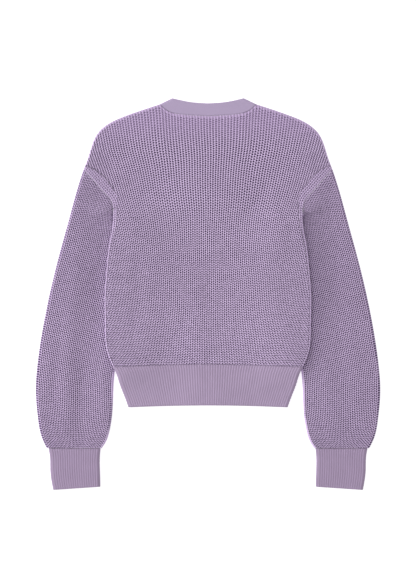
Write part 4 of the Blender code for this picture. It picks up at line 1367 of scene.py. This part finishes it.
BAND_ROUNDNESS = 0.5
ROUND_POINTS = 4
BAND_COLUMNS = 57
BAND_ROWS = 61
band_turn = np.linspace(0, math.pi / 2, ROUND_POINTS)
band_corner = np.stack([np.sin(band_turn), 1 - np.cos(band_turn)], axis=-1) * BAND_ROUNDNESS
half_flat = BAND_HALF_WIDTH - BAND_ROUNDNESS
flat = np.linspace(-half_flat, half_flat, BAND_COLUMNS)[1:-1]
floor = np.stack([flat, 0 * flat], axis=-1)
right_low = band_corner + (half_flat, 0.0)
right_side = np.concatenate([right_low, (right_low * (1, -1) + (0, BAND_WALL))[::-1]])
ceiling = np.stack([flat[::-1], 0 * flat + BAND_WALL], axis=-1)
profile = np.concatenate([floor, right_side, ceiling, -right_side + (0, BAND_WALL)])
strip_rows = np.linspace(HEM_EDGE[2][1], FRONT_NECK_SEAM[-1][1] - SEAM_GAP, BAND_ROWS)
strip = np.zeros((BAND_ROWS, len(profile), 3))
strip[..., 0] = profile[:, 0]
strip[..., 1] = strip_rows[:, None]
strip[..., 2] = profile[:, 1]
strip_index = grid_numbers(BAND_ROWS, len(profile))
first_cap, last_cap = [
    np.stack([row[1:-1], row[2:], 0 * row[2:] + row[0]], axis=-1) for row in strip_index[[0, -1]]
]
strip_round = sheet_faces(closed_round(strip_index))
strip_faces = np.concatenate([strip_round, first_cap[:, ::-1], last_cap])
strip_map = (profile[None, :, 0] / BAND_WALE_PITCH, strip_rows[:, None] / BAND_COURSE_PITCH)
for name, height, under in (
    ("buttonhole_band", BUTTONHOLE_BAND_RISE, "table"),
    ("button_band", BUTTON_BAND_RISE, "buttonhole_band_strip"),
):
    strip_piece = add_piece(
        f"{name}_strip",
        strip.reshape(-1, 3) + (0.0, 0.0, height),
        strip_faces,
        {"stitches": all_places(strip_map)},
        fine_material(f"{name} knit", SHADED_BAND_YARN),
    )
    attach(strip_piece, "root")
    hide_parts(name)

# ------------------------------------------------------------------ buttons
# Five flat buttons in the yarn's colour, sewn on through four holes with two strands of
# yarn, stand through the buttonhole band. Their faces look down at the table.

BUTTON_HEIGHTS = (150.0, 66.0, -18.0, -102.0, -186.0)
BUTTON_WELL = (4.6, 0.7)           # radius of the flat middle of its face, and its depth
BUTTON_RIM = ((5.1, 0.6), (5.6, 0.15), (6.3, 0.0), (7.0, 0.1), (7.4, 0.4))
BUTTON_BACK = ((7.5, 1.0), (7.5, 1.5), (7.2, 2.0), (6.6, 2.2), (0.0, 2.2))
BUTTON_HOLES = (1.35, 0.75, 0.8)   # distance from both middle lines, radius, depth
BUTTON_THREAD = (0.5, 0.75)        # half width, height over the face
FACE_RINGS = 24
BUTTON_POINTS = 72                 # round each ring
button_turn = np.arange(BUTTON_POINTS) * 2 * math.pi / BUTTON_POINTS
button_face = np.linspace((0.0, BUTTON_WELL[1]), BUTTON_WELL, FACE_RINGS)
button_profile = np.concatenate([button_face, BUTTON_RIM, BUTTON_BACK])


def button_relief(x, y):
    """Depth of the four holes less the height of the two strands across them."""
    offset, radius, depth = BUTTON_HOLES
    half, high = BUTTON_THREAD
    wells = depth * rise(np.hypot(np.abs(x) - offset, np.abs(y) - offset), radius, radius * 0.6)
    round_off = np.sqrt(np.clip(1 - ((np.abs(x) - offset) / half) ** 2, 0.0, 1.0))
    strand = high * round_off * rise(np.abs(y), offset * 1.25, offset * 0.8)
    return np.where(strand > 0, -strand, wells)


button_circle = np.stack([np.cos(button_turn), np.sin(button_turn), 0 * button_turn], axis=-1)
button_points = button_profile[:, :1, None] * button_circle
button_points[..., 2] = button_profile[:, 1:]
face = button_points[:FACE_RINGS]
face[..., 2] += button_relief(face[..., 0], face[..., 1])
button_index = grid_numbers(len(button_points), BUTTON_POINTS)
button_index[[0, -1]] = button_index[[0, -1], :1]
button_faces = sheet_faces(closed_round(button_index))
for number, height in enumerate(BUTTON_HEIGHTS):
    places = button_points.reshape(-1, 3) + (0.0, height, 0.0)
    finish = bpy.data.materials.new(f"button {number + 1}")
    finish.use_nodes = True
    button_shader = finish.node_tree.nodes["Principled BSDF"]
    button_shader.inputs["Roughness"].default_value = 0.35
    mottle = noise(Link(finish.node_tree), MOTTLE_SCALE, MOTTLE_DETAIL)
    colour = mottle.mix(shades(YARN, 0.85), shades(YARN, 0.95))
    finish.node_tree.links.new(colour.socket, button_shader.inputs["Base Color"])
    button = add_piece(f"button_{number + 1}_disc", places, button_faces, {}, finish)
    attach(button, "root")
    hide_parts(f"button_{number + 1}")
